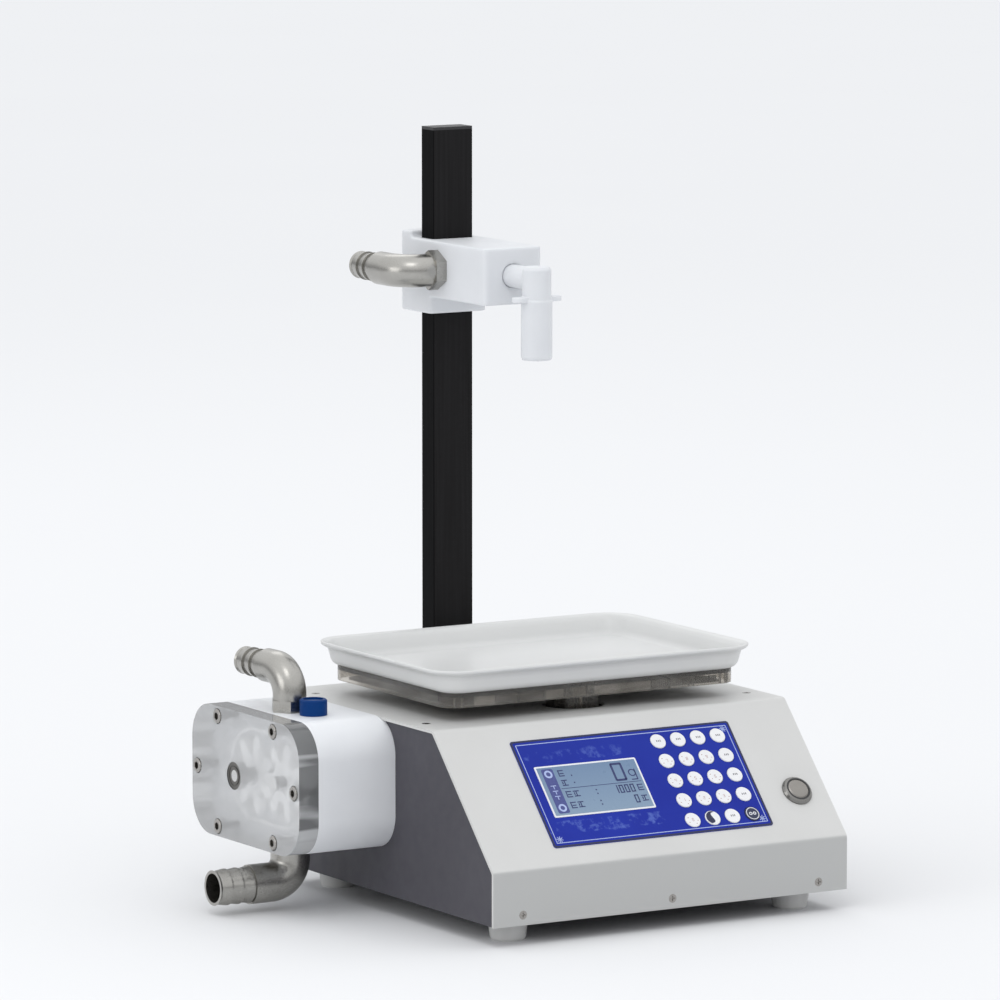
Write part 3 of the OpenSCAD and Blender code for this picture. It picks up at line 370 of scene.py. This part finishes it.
def milky(name, color, shade, roughness, depth_of_light):
    """White plastic that lets a little light into its surface."""
    f = Finish(name, color, roughness, 0.0, Subsurface_Weight=0.25,
               Subsurface_Radius=(depth_of_light, depth_of_light, depth_of_light),
               Subsurface_Scale=1.0)
    f.tint(f.noise(30 * MM, 4), shade, 0.35, 0.7, 0.6)
    f.gloss(f.noise(4 * MM, 4), roughness - 0.06, roughness + 0.08)
    f.relief(f.noise(0.9 * MM, 3), 0.012 * MM)
    return f.material


def tray_plastic():
    f = Finish("tray_plastic", (0.67, 0.675, 0.67), 0.32)
    f.tint(f.noise(60 * MM, 2), (0.64, 0.645, 0.64), 0.35, 0.7, 0.6)
    f.gloss(f.noise(40 * MM, 2), 0.29, 0.36)
    f.relief(f.noise(30 * MM, 1), 0.01 * MM)
    return f.material


def pump_plastic():
    return milky("pump_plastic", (0.80, 0.815, 0.84), (0.76, 0.775, 0.80), 0.42, 2 * MM)


def gear_plastic():
    return milky("gear_plastic", (0.88, 0.89, 0.90), (0.82, 0.83, 0.845), 0.38, 2 * MM)


def nozzle_plastic():
    return milky("nozzle_plastic", (0.73, 0.745, 0.77), (0.69, 0.705, 0.73), 0.45, 4 * MM)


def clear_plastic():
    """Clear acrylic: flat faces let nearly all light straight through under a pale painted haze
    that lightens the shaded parts behind them; the sawn edges carry painted grey shade, faces that
    look front and up carry painted shade, and front-facing faces get streaks of painted highlight.
    """
    # Painted haze: the pale base colour on the partly opaque flat faces lightens the shade on the
    # parts seen behind the window.
    f = Finish("clear_plastic", (0.93, 0.935, 0.94), 0.03, 0.0, Transmission_Weight=0.2, IOR=1.49)
    # Painted shade: the sawn edges are painted grey for the dark look they take in the light.
    f.tint(f.edge_faces(), (0.52, 0.525, 0.53), 0.0, 1.0)
    # Painted shade: faces that look to the front and up are painted nearly black.
    f.tint(f.facing(Vector((0, -0.8, 0.6))), (0.11, 0.112, 0.115), 0.35, 0.65, 0.9)
    # Painted highlight: pale streaks on the faces that look to the front.
    painted_highlight_bands = f.times(f.facing(Vector((0, -1, 0))), f.noise(16 * MM, 2, (0.1, 1, 1)))
    f.tint(painted_highlight_bands, (0.62, 0.63, 0.64), 0.50, 0.58, 0.8)
    f.gloss(f.noise(3 * MM, 4), 0.01, 0.05)
    f.relief(f.noise(12 * MM, 2), 0.01 * MM)
    f.links.new(f.span(f.edge_faces(), 0.0, 1.0, 0.42, 0.94), f.shader.inputs["Alpha"])
    return f.material


def smoked_plastic():
    """Clear carrier seen edge on: brownish and full of dark reflections."""
    f = Finish("smoked_plastic", (0.62, 0.585, 0.53), 0.06, 0.0, Transmission_Weight=0.9, IOR=1.49)
    f.tint(f.noise(30 * MM, 3, (1, 1, 3)), (0.34, 0.31, 0.26), 0.4, 0.6, 0.8)
    f.gloss(f.noise(4 * MM, 3), 0.04, 0.14)
    f.relief(f.noise(6 * MM, 2), 0.03 * MM)
    return f.material


def pale_silicone():
    return moulded("pale_silicone", (0.74, 0.75, 0.76), (0.68, 0.69, 0.70), 0.5)


def pan_white():
    return moulded("pan_white", (0.62, 0.62, 0.63), (0.52, 0.52, 0.53), 0.4)


def pan_dark():
    return moulded("pan_dark", (0.05, 0.045, 0.04), (0.09, 0.08, 0.07), 0.35)


def button_face():
    return steel("button_face", (0.30, 0.285, 0.265), 0.36, 0.3 * MM, (1, 1, 1))


def bezel_steel():
    return steel("bezel_steel", (0.24, 0.235, 0.225), 0.20, 0.3 * MM, (1, 1, 1))


def overlay_film():
    """Blue printed film: fine grain, and faint pale blossoms round the display."""
    panel_top = face_centre("keypad_overlay", UP_PANEL)
    middle = face_centre("lcd_module", OUT_OF_PANEL)
    up = middle.dot(UP_PANEL)
    f = Finish("overlay_film", (0.008, 0.022, 0.30), 0.5, 0.0, Specular_IOR_Level=0.16)
    f.tint(f.noise(45 * MM, 3), (0.012, 0.032, 0.36), 0.35, 0.7, 0.8)
    blossom = f.times(f.noise(5 * MM, 5, rough=0.6), f.noise(16 * MM, 2))
    above = f.times(f.along(UP_PANEL, up + 20 * MM, up + 24 * MM),
                    f.along(UP_PANEL, up + 38 * MM, up + 32 * MM))
    below = f.times(f.along(UP_PANEL, up - 38 * MM, up - 33 * MM),
                    f.along(UP_PANEL, up - 20 * MM, up - 24 * MM))
    left = f.along(X_AXIS, middle.x + 52 * MM, middle.x + 40 * MM)
    for side in (above, below):
        f.tint(f.times(f.times(blossom, side), left), (0.10, 0.16, 0.52), 0.26, 0.36, 0.7)
    f.tint(f.along(UP_PANEL, panel_top.dot(UP_PANEL) - 40 * MM, panel_top.dot(UP_PANEL)),
           (0.012, 0.030, 0.30), 0.0, 1.0, 0.5)
    f.relief(f.noise(0.35 * MM, 2), 0.006 * MM)
    return f.material


def circuit_board():
    f = Finish("circuit_board", (0.015, 0.12, 0.05), 0.35)
    f.tint(f.cells(3 * MM), (0.03, 0.19, 0.08), 0.3, 0.5)
    f.tint(f.noise(1.5 * MM, 1), (0.6, 0.45, 0.15), 0.68, 0.70)
    f.relief(f.cells(3 * MM), 0.05 * MM)
    return f.material


def display():
    """White frame in front, green board behind the cover."""
    front = face_centre("lcd_module", OUT_OF_PANEL).dot(OUT_OF_PANEL)
    f = Finish("display", (0.80, 0.81, 0.84), 0.35)
    f.tint(f.noise(8 * MM, 3), (0.74, 0.75, 0.79), 0.35, 0.7, 0.6)
    f.tint(f.along(OUT_OF_PANEL, front - 6 * MM, front - 8 * MM), (0.02, 0.12, 0.06), 0.4, 0.6)
    f.relief(f.noise(0.4 * MM, 2), 0.008 * MM)
    return f.material


def seal_rubber():
    return moulded("seal_rubber", (0.012, 0.012, 0.012), (0.02, 0.02, 0.02), 0.6)


def motor_paint():
    return powder_coat("motor_paint", (0.045, 0.05, 0.055), (0.03, 0.034, 0.038), 0.45)


def cap_blue():
    return moulded("cap_blue", (0.001, 0.038, 0.175), (0.001, 0.030, 0.145), 0.40,
                   0.5 * MM, 0.015 * MM, Specular_IOR_Level=0.12)


def post_paint():
    """Black anodised tube with a faint lengthwise draw, and painted shade on the faces that look
    left.
    """
    f = Finish("post_paint", (0.015, 0.0145, 0.0150), 0.5, 0.0, Specular_IOR_Level=0.03)
    f.tint(f.noise(2 * MM, 3, (1, 1, 0.02)), (0.020, 0.0195, 0.0205), 0.35, 0.7, 0.8)
    # Painted shade: faces that look along -X are darkened as if turned away from the light.
    f.tint(f.facing(-X_AXIS), (0.005, 0.005, 0.0055), 0.3, 0.7)
    f.gloss(f.noise(1.2 * MM, 3, (1, 1, 0.02)), 0.45, 0.58)
    f.relief(f.noise(0.8 * MM, 2, (1, 1, 0.03)), 0.006 * MM)
    return f.material


def key_white():
    return moulded("key_white", (0.82, 0.825, 0.84), (0.76, 0.765, 0.78), 0.35)


def key_dark():
    return moulded("key_dark", (0.012, 0.018, 0.06), (0.02, 0.028, 0.08), 0.3)


def display_glass():
    """Blue-grey display: faint dot grid, paler towards its lower left."""
    f = Finish("display_glass", (0.145, 0.225, 0.36), 0.3, 0.0, Specular_IOR_Level=0.3)
    up = face_centre("lcd_module", OUT_OF_PANEL).dot(UP_PANEL)
    f.tint(f.along(UP_PANEL, up + 20 * MM, up - 20 * MM), (0.24, 0.33, 0.44), 0.0, 1.0)
    f.tint(f.cells(0.62 * MM), (0.18, 0.27, 0.40), 0.2, 0.5, 0.35)
    f.gloss(f.noise(10 * MM, 3), 0.26, 0.36)
    f.relief(f.noise(0.6 * MM, 2), 0.004 * MM)
    return f.material


def ink(name, color, shade):
    f = Finish(name, color, 0.4)
    f.tint(f.noise(1.5 * MM, 3), shade, 0.35, 0.7)
    f.gloss(f.noise(1 * MM, 2), 0.35, 0.5)
    f.relief(f.noise(0.2 * MM, 2), 0.004 * MM)
    return f.material


MAKERS = [
    chassis_paint, cover_paint, screw_steel, foot_rubber, overlay_film, display, circuit_board,
    stainless, psu_case, black_plastic, rocker_red, load_cell_alloy, clear_plastic, tray_plastic,
    bracket_steel, motor_paint, shaft_steel, coupling_alloy, gear_plastic, pump_plastic,
    seal_rubber, bearing_steel, cap_blue, post_paint, nozzle_plastic, key_white, key_dark,
]
LOOKS = {maker.__name__: maker() for maker in MAKERS}
INKS = {
    "navy": ink("ink_navy", (0.006, 0.008, 0.045), (0.012, 0.016, 0.07)),
    "pale": ink("ink_pale", (0.42, 0.50, 0.78), (0.34, 0.42, 0.70)),
    "segment": ink("ink_segment", (0.012, 0.020, 0.105), (0.02, 0.035, 0.14)),
    "band": ink("ink_band", (0.040, 0.055, 0.22), (0.06, 0.075, 0.26)),
    "grey": ink("ink_grey", (0.16, 0.16, 0.18), (0.24, 0.24, 0.26)),
    "red": ink("ink_red", (0.30, 0.11, 0.10), (0.40, 0.18, 0.16)),
    "white": ink("ink_white", (0.72, 0.73, 0.76), (0.62, 0.63, 0.68)),
}


# Nodes whose look differs from that of their slot
SPECIAL_LOOKS = {
    "chamber_o_ring": pale_silicone(), "start_button": button_face(),
    "start_button_bezel": bezel_steel(), "platform": smoked_plastic(),
}


def dress_nodes():
    for part in frame["record"]["subparts"]:
        name = part["node"]
        mesh = NODES[name].data
        mesh.materials.clear()
        mesh.materials.append(SPECIAL_LOOKS.get(name, LOOKS[part["material_slot"]]))


# ---------- Softened edges of the CAD parts ----------

def melt_edges(node, voxel, passes):
    """Rounds every edge of a moulded CAD part: a fine remesh, then a few smoothing passes."""
    obj = NODES[node]
    remesh = obj.modifiers.new("remesh", "REMESH")
    remesh.mode = "VOXEL"
    remesh.voxel_size = voxel
    remesh.use_smooth_shade = True
    smooth = obj.modifiers.new("smooth", "SMOOTH")
    smooth.factor = 0.5
    smooth.iterations = passes


# ---------- Keypad overlay ----------

def overlay_artwork():
    width, height = panel_size("keypad_overlay")
    spot = on_panel(face_centre("keypad_overlay", OUT_OF_PANEL))
    rim_w = 1.5 * MM
    line_in = 3.2 * MM
    line_w = 0.55 * MM
    corner_r = 2 * MM

    bm = bmesh.new()
    add_band(bm, rounded_rect(width - 0.2 * MM, height - 0.2 * MM, corner_r),
             rounded_rect(width - 2 * rim_w, height - 2 * rim_w, 1.2 * MM), 0, INK, spot)
    piece("overlay_rim", bm, INKS["navy"], "machine")

    bm = bmesh.new()
    inner_w, inner_h = width - 2 * line_in, height - 2 * line_in
    add_band(bm, rounded_rect(inner_w, inner_h, 0.6 * MM),
             rounded_rect(inner_w - 2 * line_w, inner_h - 2 * line_w, 0.4 * MM), 0, INK, spot)
    piece("overlay_border", bm, INKS["pale"], "machine")

    # A small knot of crossed strokes in three corners
    bm = bmesh.new()
    for sx, sy in ((1, 1), (1, -1), (-1, -1)):
        for turn in (30, 75, 120, 165):
            middle = Vector((sx * (inner_w / 2 - 3.4 * MM), sy * (inner_h / 2 - 3.0 * MM), 0))
            stroke = spot @ Matrix.Translation(middle) @ Matrix.Rotation(math.radians(turn), 4, "Z")
            add_prism(bm, rounded_rect(5.2 * MM, 0.5 * MM, 0.2 * MM, 2), 0, INK, stroke)
    piece("overlay_corners", bm, INKS["pale"], "machine")


# ---------- Display ----------

# Strokes of each digit, named as on a seven-segment display
STROKES = {"0": "abcdef", "1": "bc", "2": "abged", "3": "abgcd", "4": "fgbc", "5": "afgcd",
           "6": "afgedc", "7": "abc", "8": "abcdefg", "9": "abfgcd"}


def add_digit(bm, digit, x, y, width, height, thick, matrix, gap=0.0):
    """One figure in straight strokes, its middle at x, y; gap parts the strokes."""
    half = height / 2
    middles = {
        "a": (0, half), "g": (0, 0), "d": (0, -half), "b": (width / 2, half / 2),
        "c": (width / 2, -half / 2), "f": (-width / 2, half / 2), "e": (-width / 2, -half / 2),
    }
    for name in STROKES[digit]:
        mx, my = middles[name]
        flat = name in "agd"
        length = (width if flat else half) + thick - gap
        add_bar(bm, x + mx, y + my, length if flat else thick, thick if flat else length, matrix)


def add_bar(bm, x, y, width, height, matrix, lift=0.0):
    add_prism(bm, rounded_rect(width, height, min(width, height) * 0.15, 2), lift, lift + INK,
              matrix @ Matrix.Translation((x, y, 0)))


def add_label_block(bm, x, y, size, kind, matrix):
    """Generic pictogram that stands where the display shows a caption: a few bars."""
    thin = size * 0.15
    if kind % 2 == 0:
        add_bar(bm, x - size * 0.32, y, thin, size, matrix)
        add_bar(bm, x + size * 0.1, y + size * 0.40, size * 0.7, thin, matrix)
        add_bar(bm, x + size * 0.1, y - size * 0.05, size * 0.6, thin, matrix)
        add_bar(bm, x + size * 0.1, y - size * 0.42, size * 0.7, thin, matrix)
    else:
        add_bar(bm, x, y + size * 0.38, size * 0.9, thin, matrix)
        add_bar(bm, x, y, thin, size * 0.8, matrix)
        add_bar(bm, x, y - size * 0.38, size * 0.9, thin, matrix)
        add_bar(bm, x - size * 0.3, y, thin, size * 0.4, matrix)


def display_window():
    """Glass in the display's white frame, with the marks that show on it."""
    frame_w, frame_h = 79.7 * MM, 41 * MM
    rim = 1.3 * MM
    glass_t, gap = 0.2 * MM, 0.01 * MM
    face = face_centre("lcd_module", OUT_OF_PANEL)
    view_w, view_h = frame_w - 2 * rim, frame_h - 2 * rim

    bm = bmesh.new()
    add_prism(bm, rounded_rect(view_w, view_h, 0.5 * MM), 0, glass_t,
              on_panel(face + OUT_OF_PANEL * gap))
    glass = piece("display_glass", bm, display_glass(), "machine")
    bevel = glass.modifiers.new("bevel", "BEVEL")
    bevel.width = 0.08 * MM
    bevel.limit_method = "ANGLE"

    top = on_panel(face + OUT_OF_PANEL * (gap + glass_t))
    strip_w, strip_in = 9 * MM, 2.8 * MM
    display_strip(strip_in + (strip_w - view_w) / 2, strip_w, view_h, top)
    display_figures(view_w - strip_w - 5.4 * MM, top)


def display_strip(x, width, view_h, matrix):
    """Dark strip at the left: a round button at each end, and a column of bars between."""
    bm = bmesh.new()
    add_bar(bm, x, 0, width, view_h - 2.6 * MM, matrix)
    piece("display_strip", bm, INKS["band"], "machine")

    button_r, eye_r, button_in = 3.1 * MM, 1.7 * MM, 5.6 * MM
    row = 4.2 * MM
    thin = 0.6 * MM
    bm = bmesh.new()
    for y in (view_h / 2 - button_in, button_in - view_h / 2):
        eye = matrix @ Matrix.Translation((x, y, INK))
        add_band(bm, regular(20, button_r), regular(20, eye_r), 0, INK, eye)
    for y in (row, 0, -row):
        add_bar(bm, x, y, 4.2 * MM, thin, matrix, INK)
        add_bar(bm, x, y - 1.5 * MM, thin, 2.4 * MM, matrix, INK)
    piece("display_strip_marks", bm, INKS["pale"], "machine")


def display_figures(line_w, matrix):
    """Large figure and its unit on top, two rows of small figures below, bars for captions."""
    bm = bmesh.new()
    add_digit(bm, "0", 22.5 * MM, 10.2 * MM, 7.6 * MM, 13.0 * MM, 1.6 * MM, matrix, 1.2 * MM)
    unit = matrix @ Matrix.Translation((32.6 * MM, 8.6 * MM, 0))
    stroke = 0.8 * MM
    add_band(bm, regular(20, 2.9 * MM), regular(20, 2.9 * MM - stroke), 0, INK, unit)
    add_bar(bm, 35.1 * MM, 7.2 * MM, stroke, 8.6 * MM, matrix)
    add_bar(bm, 32.8 * MM, 3.2 * MM, 4.8 * MM, stroke, matrix)
    add_bar(bm, 5.4 * MM, 1.4 * MM, line_w, 0.4 * MM, matrix)

    upper, lower = -3.4, -12.2
    digit_pitch = 4.3
    small = [(digit, 15.2 + digit_pitch * i, upper) for i, digit in enumerate("1000")]
    for digit, x, y in small + [("0", 28.1, lower)]:
        add_digit(bm, digit, x * MM, y * MM, 2.4 * MM, 5.6 * MM, 0.85 * MM, matrix)

    dot = 1.0 * MM
    for x, y in ((-14, 11.2), (-14, 5.4), (0, -2.0), (0, -5.0), (0, -10.8), (0, -13.8)):
        add_bar(bm, x * MM, y * MM, dot, dot, matrix)
    captions = ((-21.5, 13.6), (-21.5, 5.8), (-22, upper), (-16, upper),
                (-22, lower), (-16, lower), (34.2, upper), (34.2, lower))
    for i, (x, y) in enumerate(captions):
        add_label_block(bm, x * MM, y * MM, 5.2 * MM, i, matrix)
    piece("display_figures", bm, INKS["segment"], "machine")


# ---------- Keys ----------

KEY_COUNT = 20
DARK_KEY = 20
TWO_TONE_KEY = 18
TWO_TONE_R = 5.1 * MM
KEY_DIGITS = {5: "7", 6: "8", 7: "9", 9: "4", 10: "5", 11: "6", 13: "1", 14: "2", 15: "3", 17: "0"}


def key_marks(number):
    """Printed marks on one key: its figure, or bars where the real key has a caption."""
    name = f"key_{number}"
    spot = on_panel(face_centre(name, OUT_OF_PANEL))
    look = "grey"
    bm = bmesh.new()
    if number in KEY_DIGITS:
        look = "red"
        add_digit(bm, KEY_DIGITS[number], 0, 0, 1.1 * MM, 2.1 * MM, 0.18 * MM, spot)
        dash_r = 3.7 * MM
        for angle in (150, 210, 300, 345):
            a = math.radians(angle)
            dash = spot @ Matrix.Translation((dash_r * math.cos(a), dash_r * math.sin(a), 0))
            add_bar(bm, 0, 0, 0.9 * MM, 0.35 * MM, dash)
    elif number == DARK_KEY:
        look = "white"
        add_band(bm, regular(32, 4.9 * MM), regular(32, 4.3 * MM), 0, INK, spot)
        for x in (-1.5 * MM, 1.5 * MM):
            eye = spot @ Matrix.Translation((x, 0, 0))
            add_band(bm, regular(16, 1.3 * MM), regular(16, 0.6 * MM), 0, INK, eye)
    elif number == TWO_TONE_KEY:
        look = "navy"
        add_half_disc(bm, TWO_TONE_R, spot)
    else:
        for x in (-1.3 * MM, 0.1 * MM, 1.4 * MM):
            add_bar(bm, x, 0, 0.7 * MM, 1.5 * MM, spot)
    piece(f"{name}_mark", bm, INKS[look], name)


def add_half_disc(bm, radius, matrix):
    """Dark half of the two-tone key: half a disc whose edge swings out and back."""
    steps = 16
    turns = [math.radians(60 + 180 * i / steps) for i in range(steps + 1)]
    outline = [(radius * math.cos(a), radius * math.sin(a)) for a in turns]
    ends = Vector(outline[-1]), Vector(outline[0])
    across = Vector((ends[1].y - ends[0].y, ends[0].x - ends[1].x)).normalized()
    for i in range(1, steps):
        t = i / steps
        swing = across * radius * 0.42 * math.sin(2 * math.pi * t)
        outline.append(tuple(ends[0].lerp(ends[1], t) + swing))
    add_prism(bm, outline, 0, INK, matrix)


# ---------- Start button ----------

def start_shade_ring():
    """Black ring laid in the gap round the button's face: painted shade where the gap is in shadow.
    """
    outer_r, inner_r, thick = 8.7 * MM, 7.62 * MM, 0.5 * MM
    sunk = 0.3 * MM
    spot = on_panel(face_centre("start_button_bezel", OUT_OF_PANEL) - OUT_OF_PANEL * sunk)
    bm = bmesh.new()
    add_band(bm, regular(64, outer_r), regular(64, inner_r), 0, thick, spot)
    # The black ring stands in for the shade in the gap.
    piece("start_shade_ring", bm, LOOKS["black_plastic"], "machine")


# ---------- Tray ----------

def tray_profile(height):
    """Section of the tray's wall as (inset from the lip, height), outside then inside."""
    wall, flare, bottom_r, inner_r = 1.7 * MM, 4.2 * MM, 7 * MM, 6.5 * MM
    outside = []
    foot_inset = 13.5 * MM
    steps = 8
    for i in range(steps + 1):
        a = math.radians(270 - 78 * i / steps)
        outside.append((foot_inset + bottom_r * math.cos(a), bottom_r + bottom_r * math.sin(a)))
    neck = (flare + 0.6 * MM, height - 4.6 * MM)
    outside.append(((outside[-1][0] + neck[0]) / 2, (outside[-1][1] + neck[1]) / 2))
    outside.append(neck)
    for i in range(1, steps + 1):
        t = i / steps
        outside.append((neck[0] * (1 - t) ** 1.9, neck[1] + (height - 1.3 * MM - neck[1]) * t))
    lip_w, lip_drop = 1.6 * MM, 0.35 * MM
    lip = [(0.15 * MM, height - 0.4 * MM), (0.75 * MM, height), (lip_w, height - lip_drop)]
    inside = []
    inner_neck = (neck[0] + wall, neck[1] + 0.4 * MM)
    for i in range(1, steps + 1):
        t = i / steps
        inside.append((lip_w + (inner_neck[0] - lip_w) * t ** 0.55,
                       height - lip_drop + (inner_neck[1] - height + lip_drop) * t))
    floor = 2.2 * MM
    for i in range(steps + 1):
        a = math.radians(195 + 75 * i / steps)
        inside.append((foot_inset + lip_w + inner_r * math.cos(a),
                       floor + inner_r + inner_r * math.sin(a)))
    return outside, lip + inside


def tray_shell():
    """The whole tray as one thin moulded skin with a flared lip."""
    low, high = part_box("tray")
    middle = (low + high) / 2
    width, depth, height = high - low
    lip_r, least_r = 25 * MM, 6 * MM
    outside, inside = tray_profile(height)
    rings = []
    for inset, z in outside + inside:
        radius = max(lip_r - inset, least_r)
        outline = rounded_rect(width - 2 * inset, depth - 2 * inset, radius, 12)
        rings.append([Vector((middle.x + x, middle.y + y, low.z + z)) for x, y in outline])
    bm = bmesh.new()
    add_loft(bm, rings)
    tray = piece("tray_shell", bm, LOOKS["tray_plastic"], "tray",
                 math.radians(60))
    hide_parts("tray")


# ---------- Weighing platform ----------

def add_block(bm, x0, x1, y, z0, z1, thick):
    """Upright plate that faces the front, between x0 and x1."""
    spot = Matrix.Translation(((x0 + x1) / 2, y, 0))
    add_prism(bm, rounded_rect(x1 - x0, thick, thick * 0.2, 2), z0, z1, spot)


def platform_details():
    """What shows under the carrier's plate: pan, dark strip, pale blocks, ribs and clips."""
    low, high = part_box("platform")
    width = high.x - low.x
    top = high.z - 3.2 * MM
    front = low.y + 5 * MM
    deep = 6.4 * MM

    def across(share):
        return low.x + width * share

    bm = bmesh.new()
    for start, end in ((0.10, 0.165), (0.34, 0.40), (0.43, 0.475), (0.505, 0.70)):
        add_block(bm, across(start), across(end), front, top - deep, top - 0.6 * MM, 3 * MM)
    piece("platform_blocks", bm, pan_white(), "machine")

    bm = bmesh.new()
    add_block(bm, across(0.165), across(0.335), front, top - deep * 0.8, top - 1.6 * MM, 2 * MM)
    for start, end in ((0.86, 0.90), (0.905, 0.93)):
        add_block(bm, across(start), across(end), front, top - deep * 0.8, top - 1.2 * MM, 2 * MM)
    # Plate that closes the pan from below, behind the skirt
    middle = Matrix.Translation(((low.x + high.x) / 2, (low.y + high.y) / 2, 0))
    hole = rounded_rect(34 * MM, 120 * MM, 4 * MM)
    add_band(bm, rounded_rect(width - 16 * MM, high.y - low.y - 16 * MM, 8 * MM), hole,
             top - deep - 0.2 * MM, top - deep + 0.6 * MM, middle)
    piece("platform_pan", bm, pan_dark(), "machine")

    bm = bmesh.new()
    ribs = 16
    for i in range(ribs):
        share = 0.71 + 0.105 * i / ribs
        add_block(bm, across(share), across(share) + 0.8 * MM, front, top - deep * 0.85,
                  top - 1 * MM, 2.4 * MM)
    for share in (0.03, 0.055, 0.41, 0.48, 0.83, 0.845, 0.94, 0.96):
        add_block(bm, across(share), across(share) + 1.2 * MM, front - 0.6 * MM,
                  top - deep - 0.4 * MM, top, 2.4 * MM)
    piece("platform_ribs", bm, LOOKS["clear_plastic"], "machine")


# ---------- Stage, light and camera ----------

def pale_floor():
    """Wide disc of matt paper under the part."""
    f = Finish("floor_paper", (0.80, 0.805, 0.815), 1.0, Specular_IOR_Level=0.0)
    f.tint(f.noise(0.8, 2), (0.795, 0.80, 0.81), 0.4, 0.6, 0.5)
    radius, thick = 60, 0.02
    bm = bmesh.new()
    add_prism(bm, regular(96, radius), -thick, 0)
    mesh = bpy.data.meshes.new("floor")
    bm.to_mesh(mesh)
    bm.free()
    floor = bpy.data.objects.new("floor", mesh)
    bpy.context.scene.collection.objects.link(floor)
    mesh.materials.append(f.material)


def soft_box(name, spot, aim, size, power):
    """Rectangular lamp at spot that looks at aim."""
    light = bpy.data.lights.new(name, "AREA")
    light.shape = "RECTANGLE"
    light.size, light.size_y = size
    light.energy = power
    lamp = bpy.data.objects.new(name, light)
    lamp.location = spot
    lamp.rotation_euler = (Vector(aim) - Vector(spot)).to_track_quat("-Z", "Y").to_euler()
    bpy.context.scene.collection.objects.link(lamp)


def dome_light(stops):
    """World light whose strength follows the height above the horizon."""
    world = bpy.data.worlds.new("studio")
    world.use_nodes = True
    nodes, links = world.node_tree.nodes, world.node_tree.links
    direction = nodes.new("ShaderNodeTexCoord").outputs["Generated"]
    split = nodes.new("ShaderNodeSeparateXYZ")
    links.new(direction, split.inputs["Vector"])
    ramp = nodes.new("ShaderNodeValToRGB")
    links.new(split.outputs["Z"], ramp.inputs["Fac"])
    points = ramp.color_ramp.elements
    while len(points) < len(stops):
        points.new(0.5)
    for point, (height, strength) in zip(points, stops):
        point.position = height
        point.color = (0.975 * strength, 0.985 * strength, strength, 1)
    links.new(ramp.outputs["Color"], nodes["Background"].inputs["Color"])
    bpy.context.scene.world = world


def studio():
    """Soft light from all round, with three lamps for shape."""
    bpy.context.scene.view_settings.view_transform = "Standard"
    dome_light([(0.0, 0.30), (0.10, 0.42), (0.32, 1.02), (1.0, 1.24)])
    aim = (0, 0, 0.25)
    soft_box("key_light", (-1.2, -1.6, 3.0), aim, (1.2, 1.2), 9)
    soft_box("back_light", (0.8, 2.2, 2.4), aim, (1.2, 1.0), 4)
    soft_box("left_light", (-2.6, -0.3, 0.9), aim, (1.4, 1.0), 7)


def photo_camera():
    """Long lens from the left of the front, a little above the middle of the part."""
    azimuth, elevation = math.radians(-30.97), math.radians(7.53)
    target = Vector((-0.0518, -0.1157, 0.2910))
    distance = 4.908
    ahead = Vector((-math.sin(azimuth) * math.cos(elevation),
                    math.cos(azimuth) * math.cos(elevation), -math.sin(elevation)))
    data = bpy.data.cameras.new("photo_camera")
    data.lens = 265.95
    data.sensor_width = 36
    data.clip_end = 200
    camera = bpy.data.objects.new("photo_camera", data)
    camera.location = target - ahead * distance
    camera.rotation_euler = ahead.to_track_quat("-Z", "Y").to_euler()
    bpy.context.scene.collection.objects.link(camera)
    bpy.context.scene.camera = camera


photo_camera()
studio()
pale_floor()
dress_nodes()
overlay_artwork()
display_window()
for key_number in range(1, KEY_COUNT + 1):
    key_marks(key_number)
start_shade_ring()
tray_shell()
platform_details()
melt_edges("nozzle_block", 0.9 * MM, 9)
melt_edges("nozzle_tube", 0.5 * MM, 4)
